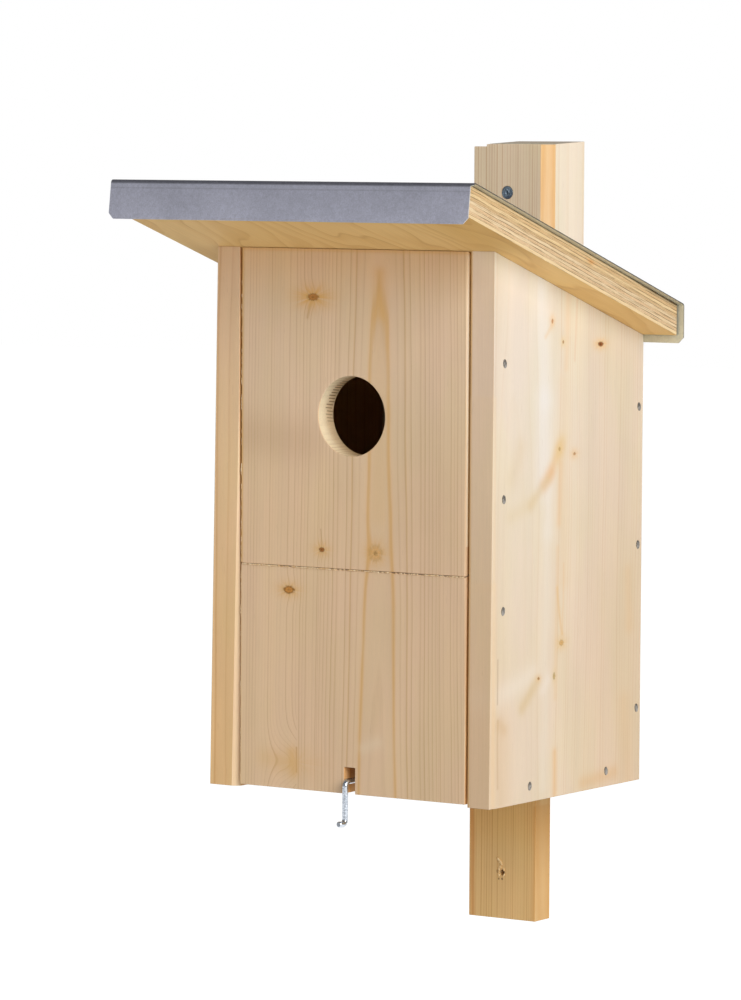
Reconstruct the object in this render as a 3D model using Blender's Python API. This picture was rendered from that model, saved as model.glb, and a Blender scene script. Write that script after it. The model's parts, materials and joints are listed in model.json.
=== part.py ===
"""Starling nest box: nailed spruce boards, a plywood roof under a folded sheet, and a hanging batten.

Box frame, used by every function here: x to the right, y from the front face backwards, z up from the
foot of the side walls, x = 0 in the middle of the roof, the entrance hole and the batten. One empty
carries it all, and puts the world's origin at the middle of the face that rests on the tree.
"""

import math

import bmesh
import bpy
from mathutils import Matrix, Vector

# Driving dimensions, in metres and degrees.
GAP = 0.0003  # between faces that touch on the real box
WALL_THICKNESS = 0.0165
RIGHT_INNER = 0.0838  # inner faces of the side walls
LEFT_INNER = -0.0815
FOOT_SPREAD = 0.0046  # how much thicker the left wall is at its foot than at its top
DEPTH = 0.1725  # front face to back face of the side walls
FRONT_HEIGHT = 0.3286  # side walls at the front
ROOF_SLOPE = 17.3

PLANED_TOP = 0.262  # where the planed strip on the right wall's outer front corner runs out
PLANED_FRONT = 0.0012
PLANED_SIDE = 0.006
BEVEL_TOP = 0.235  # the same for the bevel on the left wall's inner front corner
BEVEL = 0.0048
BEVEL_DEPTH = 0.0031

FRONT_WIDTH = 0.162
FRONT_SIDE_GAP = 0.0018  # between the front boards and the right wall
FRONT_BEVEL = 0.0012  # on the front boards' right arris, running out down the flap
FLAP_FOOT = 0.0016
FLAP_TOP = 0.136
SAW_CUT = 0.0008
SAW_CUT_TILT = 25.0  # the cut falls towards the front, so that it drains and the flap can turn
HOLE_RADIUS = 0.024
HOLE_HEIGHT = 0.2286
NOTCH_WIDTH = 0.0078
NOTCH_HEIGHT = 0.0176

FLOOR_THICKNESS = 0.0165
FLOOR_MIDDLE = 0.0095  # height of the floor's mid plane
FLOOR_CORNER_CROP = 0.008  # the corners are cropped, which lets water out

ROOF_THICKNESS = 0.018
ROOF_WIDTH = 0.2485
ROOF_OVERHANG = 0.066

SHEET_THICKNESS = 0.0006
SHEET_SIDE_OVERHANG = 0.004
SHEET_SLACK = 0.001  # between the roof board's ends and the folded flanges
SHEET_DROP = 0.024
SHEET_KICK = 0.003  # how far the front flange stands out at its lower edge
SHEET_FOLD_RADIUS = 0.002
SHEET_CORNER_CLIP = 0.0034
SHEET_END_CUT = 0.0022  # how far short of the sheet's right edge the front flange ends

BATTEN_WIDTH = 0.0492
BATTEN_THICKNESS = 0.0175
BATTEN_FOOT = -0.096
BATTEN_TOP = 0.3912
BATTEN_NICK_WIDTH = 0.0093
BATTEN_NICK_DEPTH = 0.0014
HANGING_HOLE_RADIUS = 0.0018
HANGING_HOLE_HEIGHT = -0.0668

BLOCK_THICKNESS = 0.0345
BLOCK_HEIGHT = 0.122
BLOCK_RISE = 0.002  # how much higher than the batten the block ends at the back
BLOCK_TOP_FALL = 0.0017  # how much lower its sawn top is at the front

NAIL_RADIUS = 0.0011
NAIL_HEAD_RADIUS = 0.0026
NAIL_HEAD_THICKNESS = 0.0008
NAIL_HEAD_SINK = 0.0008
NAIL_LENGTH = 0.050
NAIL_POINT = 0.004
BORE_FIT = 0.0003  # round the shanks and heads of nails and screws
BORE_END_ROOM = 0.001

FRONT_NAIL_DEPTH = 0.012  # from the front face
FRONT_NAIL_HEIGHTS = {"upper": 0.2625, "lower": 0.1825}
PIVOT_HEIGHT = 0.1165
BACK_NAIL_DEPTH = 0.0047  # from the back face
BACK_NAIL_HEIGHTS = {"top": 0.231, "middle": 0.146, "bottom": 0.045}
FLOOR_NAIL_DEPTHS = {"front": 0.0435, "rear": 0.132}

SCREW_RADIUS = 0.0018
SCREW_HEAD_RADIUS = 0.004
SCREW_HEAD_RIM = 0.0003
SCREW_HEAD_HEIGHT = 0.0026
PAN_HEAD_RIM = 0.0016
PAN_HEAD_FLAT = 0.0028  # radius of the flat on top of a pan head
SCREW_POINT = 0.006
RECESS_LENGTH = 0.0044
RECESS_WIDTH = 0.0011
RECESS_DEPTH = 0.0014
BLOCK_SCREW_LENGTH = 0.040
BLOCK_SCREW_HEIGHTS = {"upper": 0.3611, "lower": 0.296}
BATTEN_SCREW_LENGTH = 0.030
BATTEN_SCREW_HEIGHTS = {"upper": 0.215, "lower": 0.060}
ROOF_SCREW_LENGTH = 0.045
ROOF_SCREW_DEPTHS = {"front": 0.040, "rear": 0.132}

WIRE_RADIUS = 0.0018
HOOK_GRIP = 0.022  # how deep the shank sits in the floor
HOOK_STANDOFF = 0.0044  # from the flap's face to the middle of the arm
HOOK_ARM = 0.026
HOOK_LIP = 0.007
HOOK_LIP_DROOP = 0.001
HOOK_BEND_RADIUS = 0.003

ROUND_SIDES = 16
HOLE_SIDES = 64
BEND_STEPS = 5
CUTTER_REACH = 0.01

# Worked out from the above.
SLOPE = math.radians(ROOF_SLOPE)
CUT_RISE = math.tan(math.radians(SAW_CUT_TILT))
ROOF_RISE = ROOF_THICKNESS / math.cos(SLOPE)  # the board's height at its plumb ends
FRONT_RIGHT = RIGHT_INNER - FRONT_SIDE_GAP
FRONT_LEFT = FRONT_RIGHT - FRONT_WIDTH
ROOF_REAR = DEPTH + GAP - SHEET_SLACK
BATTEN_FRONT = DEPTH + GAP + SHEET_THICKNESS + GAP
BATTEN_BACK = BATTEN_FRONT + BATTEN_THICKNESS
BLOCK_FRONT = BATTEN_BACK + GAP
BLOCK_BACK = BLOCK_FRONT + BLOCK_THICKNESS
BLOCK_TOP = BATTEN_TOP + BLOCK_RISE
ORIGIN = Vector((0, BLOCK_BACK, BLOCK_TOP - BLOCK_HEIGHT / 2))


def roof_underside(y):
    """Height of the roof board's lower face."""
    return FRONT_HEIGHT - y * math.tan(SLOPE)


def left_outer(z):
    """The left wall's outer face, which leans out towards the foot."""
    return LEFT_INNER - WALL_THICKNESS - FOOT_SPREAD * (1 - z / FRONT_HEIGHT)


def clear_scene():
    for obj in list(bpy.data.objects):
        bpy.data.objects.remove(obj, do_unlink=True)


def finish(name, colour, roughness, metallic=0.0):
    """A plain material of one colour."""
    material = bpy.data.materials.new(name)
    material.diffuse_color = (*colour, 1)
    material.use_nodes = True
    shader = material.node_tree.nodes["Principled BSDF"]
    shader.inputs["Base Color"].default_value = (*colour, 1)
    shader.inputs["Roughness"].default_value = roughness
    shader.inputs["Metallic"].default_value = metallic
    return material


def mesh_of(bm, name):
    """Turns the bmesh into a mesh whose faces point out."""
    bmesh.ops.recalc_face_normals(bm, faces=bm.faces)
    mesh = bpy.data.meshes.new(name)
    bm.to_mesh(mesh)
    bm.free()
    return mesh


def place(name, data, material, matrix=None):
    """Puts a node in the scene, carried by the root empty."""
    obj = bpy.data.objects.new(name, data)
    bpy.context.scene.collection.objects.link(obj)
    obj.parent = bpy.data.objects["nest_box"]
    obj.matrix_local = matrix or Matrix()
    if material and not data.materials:
        data.materials.append(material)
    return obj


def hull(points):
    """The convex body of these corners."""
    bm = bmesh.new()
    corners = [bm.verts.new(point) for point in points]
    bmesh.ops.convex_hull(bm, input=corners)
    bmesh.ops.dissolve_limit(bm, angle_limit=math.radians(0.01), verts=bm.verts, edges=bm.edges)
    return bm


def box(low, high):
    """A box between two opposite corners."""
    xs, ys, zs = zip(low, high)
    return hull([(x, y, z) for x in xs for y in ys for z in zs])


def turned(profile, sides=ROUND_SIDES):
    """The body that a profile of (radius, height) makes when it turns round Z, from axis to axis."""
    bm = bmesh.new()
    line = [bm.verts.new((radius, 0, height)) for radius, height in profile]
    edges = [bm.edges.new(pair) for pair in zip(line, line[1:])]
    bmesh.ops.spin(bm, geom=line + edges, axis=(0, 0, 1), cent=(0, 0, 0), angle=2 * math.pi, steps=sides)
    bmesh.ops.remove_doubles(bm, verts=bm.verts, dist=1e-6)
    return bm


def along(direction, start):
    """The matrix that carries +Z onto a direction, and the origin to a start."""
    turn = Vector((0, 0, 1)).rotation_difference(Vector(direction)).to_matrix().to_4x4()
    return Matrix.Translation(start) @ turn


def cutter(name, bodies):
    """One hidden cutter made of several bodies, each a (bmesh, matrix)."""
    whole = bmesh.new()
    for number, (bm, matrix) in enumerate(bodies):
        piece = mesh_of(bm, f"{name}_{number}")
        piece.transform(matrix)
        whole.from_mesh(piece)
        bpy.data.meshes.remove(piece)
    obj = place(name, mesh_of(whole, name), None)
    obj.hide_render = True
    obj.display_type = "WIRE"
    return obj


def cut(obj, *tools):
    for tool in tools:
        modifier = obj.modifiers.new(tool.name, "BOOLEAN")
        modifier.operation = "DIFFERENCE"
        modifier.solver = "EXACT"
        modifier.object = tool


def smooth(mesh, angle=40):
    mesh.shade_smooth()
    mesh.set_sharp_from_angle(angle=math.radians(angle))


def wall_corners(inner, outer):
    """The corners of a side wall whose faces lie at inner(z) and outer(z)."""
    corners = []
    for y in (0, DEPTH):
        top = roof_underside(y) - GAP
        corners += [(face(z), y, z) for face in (inner, outer) for z in (0, top)]
    return corners


def make_left_wall(wood):
    corners = wall_corners(lambda z: LEFT_INNER, left_outer)
    corners.remove((LEFT_INNER, 0, 0))
    corners += [(LEFT_INNER - BEVEL, 0, 0), (LEFT_INNER, BEVEL_DEPTH, 0), (LEFT_INNER, 0, BEVEL_TOP)]
    return place("side_wall_left", mesh_of(hull(corners), "side_wall_left"), wood)


def make_right_wall(wood):
    outer = RIGHT_INNER + WALL_THICKNESS
    corners = wall_corners(lambda z: RIGHT_INNER, lambda z: outer)
    corners.remove((outer, 0, 0))
    corners += [(outer - PLANED_FRONT, 0, 0), (outer, PLANED_SIDE, 0), (outer, 0, PLANED_TOP)]
    return place("side_wall_right", mesh_of(hull(corners), "side_wall_right"), wood)


def make_back_wall(wood):
    corners = []
    for y in (DEPTH - WALL_THICKNESS, DEPTH):
        for z in (0, roof_underside(y) - GAP):
            corners += [(LEFT_INNER + GAP, y, z), (RIGHT_INNER - GAP, y, z)]
    return place("back_wall", mesh_of(hull(corners), "back_wall"), wood)


def make_floor(wood):
    front = WALL_THICKNESS + GAP
    rear = DEPTH - WALL_THICKNESS - GAP
    crop = FLOOR_CORNER_CROP
    left, right = LEFT_INNER + GAP, RIGHT_INNER - GAP
    corners = []
    for z in (FLOOR_MIDDLE - FLOOR_THICKNESS / 2, FLOOR_MIDDLE + FLOOR_THICKNESS / 2):
        corners += [(x, y, z) for x in (left, right) for y in (front + crop, rear - crop)]
        corners += [(x, y, z) for x in (left + crop, right - crop) for y in (front, rear)]
    return place("floor_board", mesh_of(hull(corners), "floor_board"), wood)


def saw_cut(y):
    """Height of the flap's upper end, below the cut."""
    return FLAP_TOP + y * CUT_RISE


def board_end(height, bevel=FRONT_BEVEL):
    """The corners of a front board at the end that lies at height(y)."""
    corners = {(FRONT_LEFT, 0, height(0)), (FRONT_RIGHT - bevel, 0, height(0))}
    corners.add((FRONT_RIGHT, bevel, height(bevel)))
    return sorted(corners) + [(x, WALL_THICKNESS, height(WALL_THICKNESS)) for x in (FRONT_LEFT, FRONT_RIGHT)]


def make_front_panel(wood):
    corners = board_end(lambda y: saw_cut(y) + SAW_CUT) + board_end(lambda y: roof_underside(y) - GAP)
    panel = place("front_panel", mesh_of(hull(corners), "front_panel"), wood)
    drill = turned(
        [(0, -CUTTER_REACH), (HOLE_RADIUS, -CUTTER_REACH)]
        + [(HOLE_RADIUS, WALL_THICKNESS + CUTTER_REACH), (0, WALL_THICKNESS + CUTTER_REACH)],
        HOLE_SIDES,
    )
    cut(panel, cutter("entrance_drill", [(drill, along((0, 1, 0), (0, 0, HOLE_HEIGHT)))]))
    return panel


def make_flap(wood):
    """The flap's own origin lies on the line through its two pivot nails."""
    pivot = Vector((0, FRONT_NAIL_DEPTH, PIVOT_HEIGHT))
    corners = board_end(lambda y: FLAP_FOOT, bevel=0) + board_end(saw_cut)
    bm = hull([Vector(corner) - pivot for corner in corners])
    flap = place("front_flap", mesh_of(bm, "front_flap"), wood, Matrix.Translation(pivot))
    saw = box(
        (-NOTCH_WIDTH / 2, -CUTTER_REACH, FLAP_FOOT - CUTTER_REACH),
        (NOTCH_WIDTH / 2, WALL_THICKNESS + CUTTER_REACH, NOTCH_HEIGHT),
    )
    cut(flap, cutter("notch_saw", [(saw, Matrix())]))
    return flap


def make_roof_board(plywood):
    corners = []
    for y in (-ROOF_OVERHANG, ROOF_REAR):
        for z in (roof_underside(y), roof_underside(y) + ROOF_RISE):
            corners += [(x, y, z) for x in (-ROOF_WIDTH / 2, ROOF_WIDTH / 2)]
    return place("roof_board", mesh_of(hull(corners), "roof_board"), plywood)


def fold(before, corner, after, radius):
    """Points of the arc that rounds a corner of a (y, z) line."""
    first, last = (before - corner).normalized(), (after - corner).normalized()
    half = first.angle(last) / 2
    centre = corner + (first + last).normalized() * radius / math.sin(half)
    start = corner + first * radius / math.tan(half)
    sweep = (start - centre).angle_signed(corner + last * radius / math.tan(half) - centre)
    points = []
    for step in range(BEND_STEPS + 1):
        turn = Matrix.Rotation(-sweep * step / BEND_STEPS, 2)
        points.append(centre + turn @ (start - centre))
    return points


def make_roof_sheet(zinc):
    """The sheet's outer face, as rows from flange to flange, thickened inwards."""
    skin = GAP + SHEET_THICKNESS
    front = -ROOF_OVERHANG - SHEET_SLACK - SHEET_THICKNESS
    rear = ROOF_REAR + SHEET_SLACK + SHEET_THICKNESS
    rise = ROOF_RISE + skin / math.cos(SLOPE)
    front_fold = Vector((front, roof_underside(front) + rise))
    rear_fold = Vector((rear, roof_underside(rear) + rise))
    front_edge = front_fold + Vector((-SHEET_KICK, -SHEET_DROP))
    rear_edge = rear_fold + Vector((0, -SHEET_DROP))
    right = ROOF_WIDTH / 2 + SHEET_SIDE_OVERHANG
    left, flange_right = -right, right - SHEET_END_CUT
    clip = SHEET_CORNER_CLIP
    first, *others = fold(front_edge, front_fold, rear_fold, SHEET_FOLD_RADIUS)
    rows = [(front_edge, left + clip, flange_right - clip)]
    rows += [(p, left, flange_right) for p in (front_edge.lerp(front_fold, clip / SHEET_DROP), first)]
    rows += [(p, left, right) for p in others + fold(front_fold, rear_fold, rear_edge, SHEET_FOLD_RADIUS)]
    rows += [(rear_edge.lerp(rear_fold, clip / SHEET_DROP), left, right)]
    rows += [(rear_edge, left + clip, right - clip)]
    bm = bmesh.new()
    pairs = [[bm.verts.new((x, p.x, p.y)) for x in ends] for p, *ends in rows]
    for (a, b), (c, d) in zip(pairs, pairs[1:]):
        bm.faces.new((a, b, d, c))
    mesh = bpy.data.meshes.new("roof_sheet")
    bm.to_mesh(mesh)
    bm.free()
    smooth(mesh)
    sheet = place("roof_sheet", mesh, zinc)
    solidify = sheet.modifiers.new("gauge", "SOLIDIFY")
    solidify.thickness = SHEET_THICKNESS
    solidify.offset = -1
    solidify.use_even_offset = True
    return sheet


def make_batten(wood):
    half = BATTEN_WIDTH / 2
    bm = box((-half, BATTEN_FRONT, BATTEN_FOOT), (half, BATTEN_BACK, BATTEN_TOP))
    batten = place("hanging_batten", mesh_of(bm, "hanging_batten"), wood)
    saw = box(
        (-half - CUTTER_REACH, BATTEN_FRONT - CUTTER_REACH, BATTEN_TOP - BATTEN_NICK_DEPTH),
        (-half + BATTEN_NICK_WIDTH, BATTEN_BACK + CUTTER_REACH, BATTEN_TOP + CUTTER_REACH),
    )
    reach = BATTEN_THICKNESS + CUTTER_REACH
    drill = turned(
        [(0, -CUTTER_REACH), (HANGING_HOLE_RADIUS, -CUTTER_REACH), (HANGING_HOLE_RADIUS, reach), (0, reach)]
    )
    hole = along((0, 1, 0), (0, BATTEN_FRONT, HANGING_HOLE_HEIGHT))
    cut(batten, cutter("batten_cuts", [(saw, Matrix()), (drill, hole)]))
    return batten


def make_block(wood):
    half = BATTEN_WIDTH / 2
    foot = BLOCK_TOP - BLOCK_HEIGHT
    corners = [(x, y, foot) for x in (-half, half) for y in (BLOCK_FRONT, BLOCK_BACK)]
    for x in (-half, half):
        corners += [(x, BLOCK_FRONT, BLOCK_TOP - BLOCK_TOP_FALL), (x, BLOCK_BACK, BLOCK_TOP)]
    return place("spacer_block", mesh_of(hull(corners), "spacer_block"), wood)


def make_hook(zinc):
    """Bent wire, its origin on the shank's axis in line with the arm, turned down: the flap is free."""
    route = [
        Vector((0, HOOK_STANDOFF + WALL_THICKNESS + GAP + HOOK_GRIP, 0)),
        Vector((0, 0, 0)),
        Vector((0, 0, HOOK_ARM)),
        Vector((0, -HOOK_LIP, HOOK_ARM - HOOK_LIP_DROOP)),
    ]
    line = [route[0]]
    for before, corner, after in zip(route, route[1:], route[2:]):
        flat = [Vector((p.y, p.z)) for p in (before, corner, after)]
        line += [Vector((0, p.x, p.y)) for p in fold(*flat, HOOK_BEND_RADIUS)]
    line.append(route[-1])
    curve = bpy.data.curves.new("latch_hook", "CURVE")
    curve.dimensions = "3D"
    curve.bevel_depth = WIRE_RADIUS
    curve.bevel_resolution = 2
    curve.use_fill_caps = True
    spline = curve.splines.new("POLY")
    spline.points.add(len(line) - 1)
    for point, place_on_line in zip(spline.points, line):
        point.co = (*place_on_line, 1)
    spline.use_smooth = True
    turned_down = Matrix.Translation((0, -HOOK_STANDOFF, FLOOR_MIDDLE)) @ Matrix.Rotation(math.pi, 4, "Y")
    hook = place("latch_hook", curve, zinc, turned_down)
    return hook


def hook_bore():
    """The hole in the floor's front edge that the hook's shank turns in."""
    depth = WALL_THICKNESS + GAP + HOOK_GRIP + BORE_END_ROOM
    radius = WIRE_RADIUS + BORE_FIT
    drill = turned([(0, 0), (radius, 0), (radius, depth), (0, depth)])
    return cutter("hook_bore", [(drill, along((0, 1, 0), (0, 0, FLOOR_MIDDLE)))])


def nail_mesh():
    """A nail along +Z, the outside of its head at zero and its point at NAIL_LENGTH."""
    neck = NAIL_HEAD_THICKNESS
    bm = turned(
        [
            (0, 0),
            (NAIL_HEAD_RADIUS, 0),
            (NAIL_HEAD_RADIUS, neck),
            (NAIL_RADIUS, neck),
            (NAIL_RADIUS, NAIL_LENGTH - NAIL_POINT),
            (0, NAIL_LENGTH),
        ]
    )
    mesh = mesh_of(bm, "nail")
    smooth(mesh)
    return mesh


def nail_bore():
    """The way of one nail, with the pocket of its head, for the nail as nail_mesh makes it."""
    pocket = NAIL_HEAD_RADIUS + BORE_FIT
    seat = NAIL_HEAD_THICKNESS + GAP
    radius = NAIL_RADIUS + BORE_FIT
    end = NAIL_LENGTH + BORE_END_ROOM
    profile = [(0, -CUTTER_REACH), (pocket, -CUTTER_REACH), (pocket, seat), (radius, seat)]
    return turned(profile + [(radius, end), (0, end)])


def nail_places():
    """(name, y, z) of the nails in one side wall."""
    places = [(f"front_nail_{row}", FRONT_NAIL_DEPTH, z) for row, z in FRONT_NAIL_HEIGHTS.items()]
    places += [("pivot_nail", FRONT_NAIL_DEPTH, PIVOT_HEIGHT)]
    places += [(f"floor_nail_{row}", y, FLOOR_MIDDLE) for row, y in FLOOR_NAIL_DEPTHS.items()]
    places += [(f"back_nail_{row}", DEPTH - BACK_NAIL_DEPTH, z) for row, z in BACK_NAIL_HEIGHTS.items()]
    return places


def make_nails(steel):
    """The nails of both walls. Gives the two cutters that hold their ways."""
    mesh = nail_mesh()
    proud = NAIL_HEAD_THICKNESS + GAP - NAIL_HEAD_SINK
    tools = []
    for side, inwards in (("left", 1), ("right", -1)):
        ways = []
        for name, y, z in nail_places():
            outer = RIGHT_INNER + WALL_THICKNESS if side == "right" else left_outer(z)
            x = outer - inwards * proud
            matrix = along((inwards, 0, 0), (x, y, z))
            place(f"{name}_{side}", mesh, steel, matrix)
            ways.append((nail_bore(), matrix))
        tools.append(cutter(f"nail_ways_{side}", ways))
    return tools


def cross_recess():
    """The cross in a screw's head."""
    arms = []
    for length, width in ((RECESS_LENGTH, RECESS_WIDTH), (RECESS_WIDTH, RECESS_LENGTH)):
        half_x, half_y = length / 2, width / 2
        corners = [(x, y, -CUTTER_REACH) for x in (-half_x, half_x) for y in (-half_y, half_y)]
        corners += [(x / 2, y / 2, RECESS_DEPTH) for x in (-half_x, half_x) for y in (-half_y, half_y)]
        arms.append(hull(corners))
    return arms


def recessed(bm, name):
    """A screw's mesh with the cross cut into its head."""
    blank = place(f"{name}_blank", mesh_of(bm, name), None)
    for number, arm in enumerate(cross_recess()):
        cut(blank, cutter(f"{name}_recess_{number}", [(arm, Matrix())]))
    bpy.context.view_layer.update()
    mesh = bpy.data.meshes.new_from_object(blank.evaluated_get(bpy.context.evaluated_depsgraph_get()))
    mesh.name = name
    smooth(mesh)
    tools = [modifier.object for modifier in blank.modifiers]
    for helper in [blank, *tools]:
        bpy.data.objects.remove(helper)
    return mesh


def countersunk_screw(length, name):
    """The mesh of a countersunk screw along +Z, the top of its head at zero."""
    profile = [(0, 0), (SCREW_HEAD_RADIUS, 0), (SCREW_HEAD_RADIUS, SCREW_HEAD_RIM)]
    profile += [(SCREW_RADIUS, SCREW_HEAD_HEIGHT), (SCREW_RADIUS, length - SCREW_POINT), (0, length)]
    return recessed(turned(profile), name)


def countersunk_way(length):
    """The hole of such a screw, open above its head."""
    head, shank = SCREW_HEAD_RADIUS + BORE_FIT, SCREW_RADIUS + BORE_FIT
    end = length + BORE_END_ROOM
    profile = [(0, -CUTTER_REACH), (head, -CUTTER_REACH), (head, SCREW_HEAD_RIM + BORE_FIT)]
    return turned(profile + [(shank, SCREW_HEAD_HEIGHT + BORE_FIT), (shank, end), (0, end)])


def make_batten_screws(steel):
    """Two screws through the batten into the block, two from behind into the back wall."""
    ways = []
    for kind, inwards, face, length, heights in (
        ("block_screw", 1, BATTEN_FRONT, BLOCK_SCREW_LENGTH, BLOCK_SCREW_HEIGHTS),
        ("batten_screw", -1, BATTEN_BACK, BATTEN_SCREW_LENGTH, BATTEN_SCREW_HEIGHTS),
    ):
        mesh = countersunk_screw(length, kind)
        for row, z in heights.items():
            matrix = along((0, inwards, 0), (0, face, z))
            place(f"{kind}_{row}", mesh, steel, matrix)
            ways.append((countersunk_way(length), matrix))
    return cutter("batten_screw_ways", ways)


def make_roof_screws(steel):
    """Four pan-headed screws, square to the roof, into the tops of the side walls."""
    head, shank = SCREW_HEAD_RADIUS, SCREW_RADIUS
    end = SCREW_HEAD_HEIGHT + ROOF_SCREW_LENGTH
    profile = [(0, 0), (PAN_HEAD_FLAT, 0), (head, PAN_HEAD_RIM), (head, SCREW_HEAD_HEIGHT)]
    profile += [(shank, SCREW_HEAD_HEIGHT), (shank, end - SCREW_POINT), (0, end)]
    mesh = recessed(turned(profile), "roof_screw")
    radius = shank + BORE_FIT
    depth = end + BORE_END_ROOM
    into_roof = Vector((0, -math.sin(SLOPE), -math.cos(SLOPE)))
    stack = ROOF_THICKNESS + GAP + SHEET_THICKNESS + GAP + SCREW_HEAD_HEIGHT
    ways = []
    for side, outwards in (("left", -1), ("right", 1)):
        for row, y in ROOF_SCREW_DEPTHS.items():
            inner = RIGHT_INNER if side == "right" else LEFT_INNER
            top = Vector((inner + outwards * WALL_THICKNESS / 2, y, roof_underside(y)))
            matrix = along(into_roof, top - stack * into_roof)
            place(f"roof_screw_{side}_{row}", mesh, steel, matrix)
            ways.append((turned([(0, 0), (radius, 0), (radius, depth), (0, depth)]), matrix))
    return cutter("roof_screw_ways", ways)


def main():
    clear_scene()
    root = bpy.data.objects.new("nest_box", None)
    bpy.context.scene.collection.objects.link(root)
    root.location = -ORIGIN

    spruce = finish("spruce", (0.67, 0.51, 0.33), 0.6)
    spruce_pale = finish("spruce_pale", (0.80, 0.68, 0.50), 0.6)
    plywood = finish("plywood", (0.70, 0.52, 0.30), 0.65)
    zinc_sheet = finish("zinc_sheet", (0.29, 0.30, 0.34), 0.45, 0.8)
    zinc_wire = finish("zinc_wire", (0.62, 0.65, 0.68), 0.25, 1.0)
    steel = finish("nail_steel", (0.40, 0.41, 0.43), 0.4, 1.0)
    zinc_screw = finish("zinc_screw", (0.45, 0.50, 0.55), 0.3, 1.0)

    walls = [make_left_wall(spruce_pale), make_right_wall(spruce_pale)]
    back, floor = make_back_wall(spruce), make_floor(spruce)
    panel, flap = make_front_panel(spruce), make_flap(spruce)
    roof, sheet = make_roof_board(plywood), make_roof_sheet(zinc_sheet)
    batten, block = make_batten(spruce), make_block(spruce_pale)
    make_hook(zinc_wire)

    roof_ways = make_roof_screws(zinc_screw)
    batten_ways = make_batten_screws(zinc_screw)
    for board in (roof, sheet, *walls):
        cut(board, roof_ways)
    for board in (batten, block, back):
        cut(board, batten_ways)
    for wall, ways in zip(walls, make_nails(steel)):
        for board in (wall, panel, flap, floor, back):
            cut(board, ways)
    cut(floor, hook_bore())


main()
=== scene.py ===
"""Looks of the starling nest box: spruce boards, plywood under a folded sheet, zinc and steel fittings.

Board coordinates, used by every wood finish, are millimetres: across the board's show face, depth from that
face into the wood, and along the grain.
"""

from __future__ import annotations

import json
import logging
import math
from collections.abc import Iterable, Mapping, Sequence
from dataclasses import dataclass
from enum import Enum

import bmesh
import bpy
from mathutils import Euler, Matrix, Vector

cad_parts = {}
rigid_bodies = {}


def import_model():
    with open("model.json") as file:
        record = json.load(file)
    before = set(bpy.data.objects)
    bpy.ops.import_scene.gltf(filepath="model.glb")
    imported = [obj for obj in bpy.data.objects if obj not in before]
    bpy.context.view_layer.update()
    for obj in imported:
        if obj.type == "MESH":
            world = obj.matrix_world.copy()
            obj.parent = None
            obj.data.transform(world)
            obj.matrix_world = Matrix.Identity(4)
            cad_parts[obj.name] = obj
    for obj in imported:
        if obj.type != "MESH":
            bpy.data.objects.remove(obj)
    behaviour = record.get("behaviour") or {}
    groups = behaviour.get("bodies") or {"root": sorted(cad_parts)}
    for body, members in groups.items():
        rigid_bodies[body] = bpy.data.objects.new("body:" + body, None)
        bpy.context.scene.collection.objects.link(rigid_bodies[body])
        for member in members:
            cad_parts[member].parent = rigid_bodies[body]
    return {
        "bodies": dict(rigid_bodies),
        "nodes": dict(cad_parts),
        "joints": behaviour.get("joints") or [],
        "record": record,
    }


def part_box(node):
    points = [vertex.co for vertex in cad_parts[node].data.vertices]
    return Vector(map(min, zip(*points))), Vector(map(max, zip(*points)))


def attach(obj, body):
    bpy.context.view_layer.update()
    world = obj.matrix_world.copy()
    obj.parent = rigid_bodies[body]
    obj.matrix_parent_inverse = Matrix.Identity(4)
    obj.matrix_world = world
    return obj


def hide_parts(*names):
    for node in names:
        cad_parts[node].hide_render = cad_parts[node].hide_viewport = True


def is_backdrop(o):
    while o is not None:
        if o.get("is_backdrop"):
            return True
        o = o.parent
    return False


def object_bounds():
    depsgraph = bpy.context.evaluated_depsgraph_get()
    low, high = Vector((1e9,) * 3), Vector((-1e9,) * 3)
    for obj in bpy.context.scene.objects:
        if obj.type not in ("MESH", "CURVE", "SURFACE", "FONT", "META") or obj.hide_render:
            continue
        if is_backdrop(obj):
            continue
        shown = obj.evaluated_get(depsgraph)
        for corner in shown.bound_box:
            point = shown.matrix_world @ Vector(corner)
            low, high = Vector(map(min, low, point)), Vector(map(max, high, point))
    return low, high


LOG = logging.getLogger("nest_box")
MM = 1000.0  # millimetres in a metre
SMOOTH_BELOW = math.radians(40)  # edges flatter than this are shaded smooth
SAME_POINT = 2e-6
LEAST_TOP = 1e-4  # square metres, above which a level face is a board's top
ON_THE_WALL = 2e-5  # how near to a bore's wall a point lies on it
UP_TO_ROOF = 0.00026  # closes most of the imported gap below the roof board
MOST_SWAY = 7.0  # the width that a streak's sway ranges over, mm
WOOD_GLOSS = 0.3
HELPER_LAYERS = ("turn", "size", "swell", "rough")  # what a recipe reads from its starting mesh
Colour = tuple[float, float, float]
Screen = tuple[int, int, int]  # a screen colour, each part 0 to 255
Point = tuple[float, float, float]
Spot = tuple[float, float]


def srgb(red: float, green: float, blue: float) -> Colour:
    """The linear colour of a screen colour given as 0 to 255."""
    shares = [channel / 255 for channel in (red, green, blue)]
    return tuple(c / 12.92 if c <= 0.04045 else ((c + 0.055) / 1.055) ** 2.4 for c in shares)


@dataclass(frozen=True)
class BoxFrame:
    """The box's own frame, in metres: x from the middle, y back from the front face, z up from the foot."""

    front: float
    foot: float

    @classmethod
    def from_nodes(cls) -> BoxFrame:
        """Reads the front face and the foot from the right side wall."""
        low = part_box("side_wall_right")[0]
        return cls(front=low.y, foot=low.z)

    def point(self, x: float, y: float, z: float) -> Vector:
        """A point of the box frame, in the row frame."""
        return Vector((x, y + self.front, z + self.foot))

    def millimetres(self, x: float, y: float, z: float) -> Vector:
        """A point of the box frame given in millimetres, in the row frame."""
        return self.point(x / MM, y / MM, z / MM)


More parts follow.
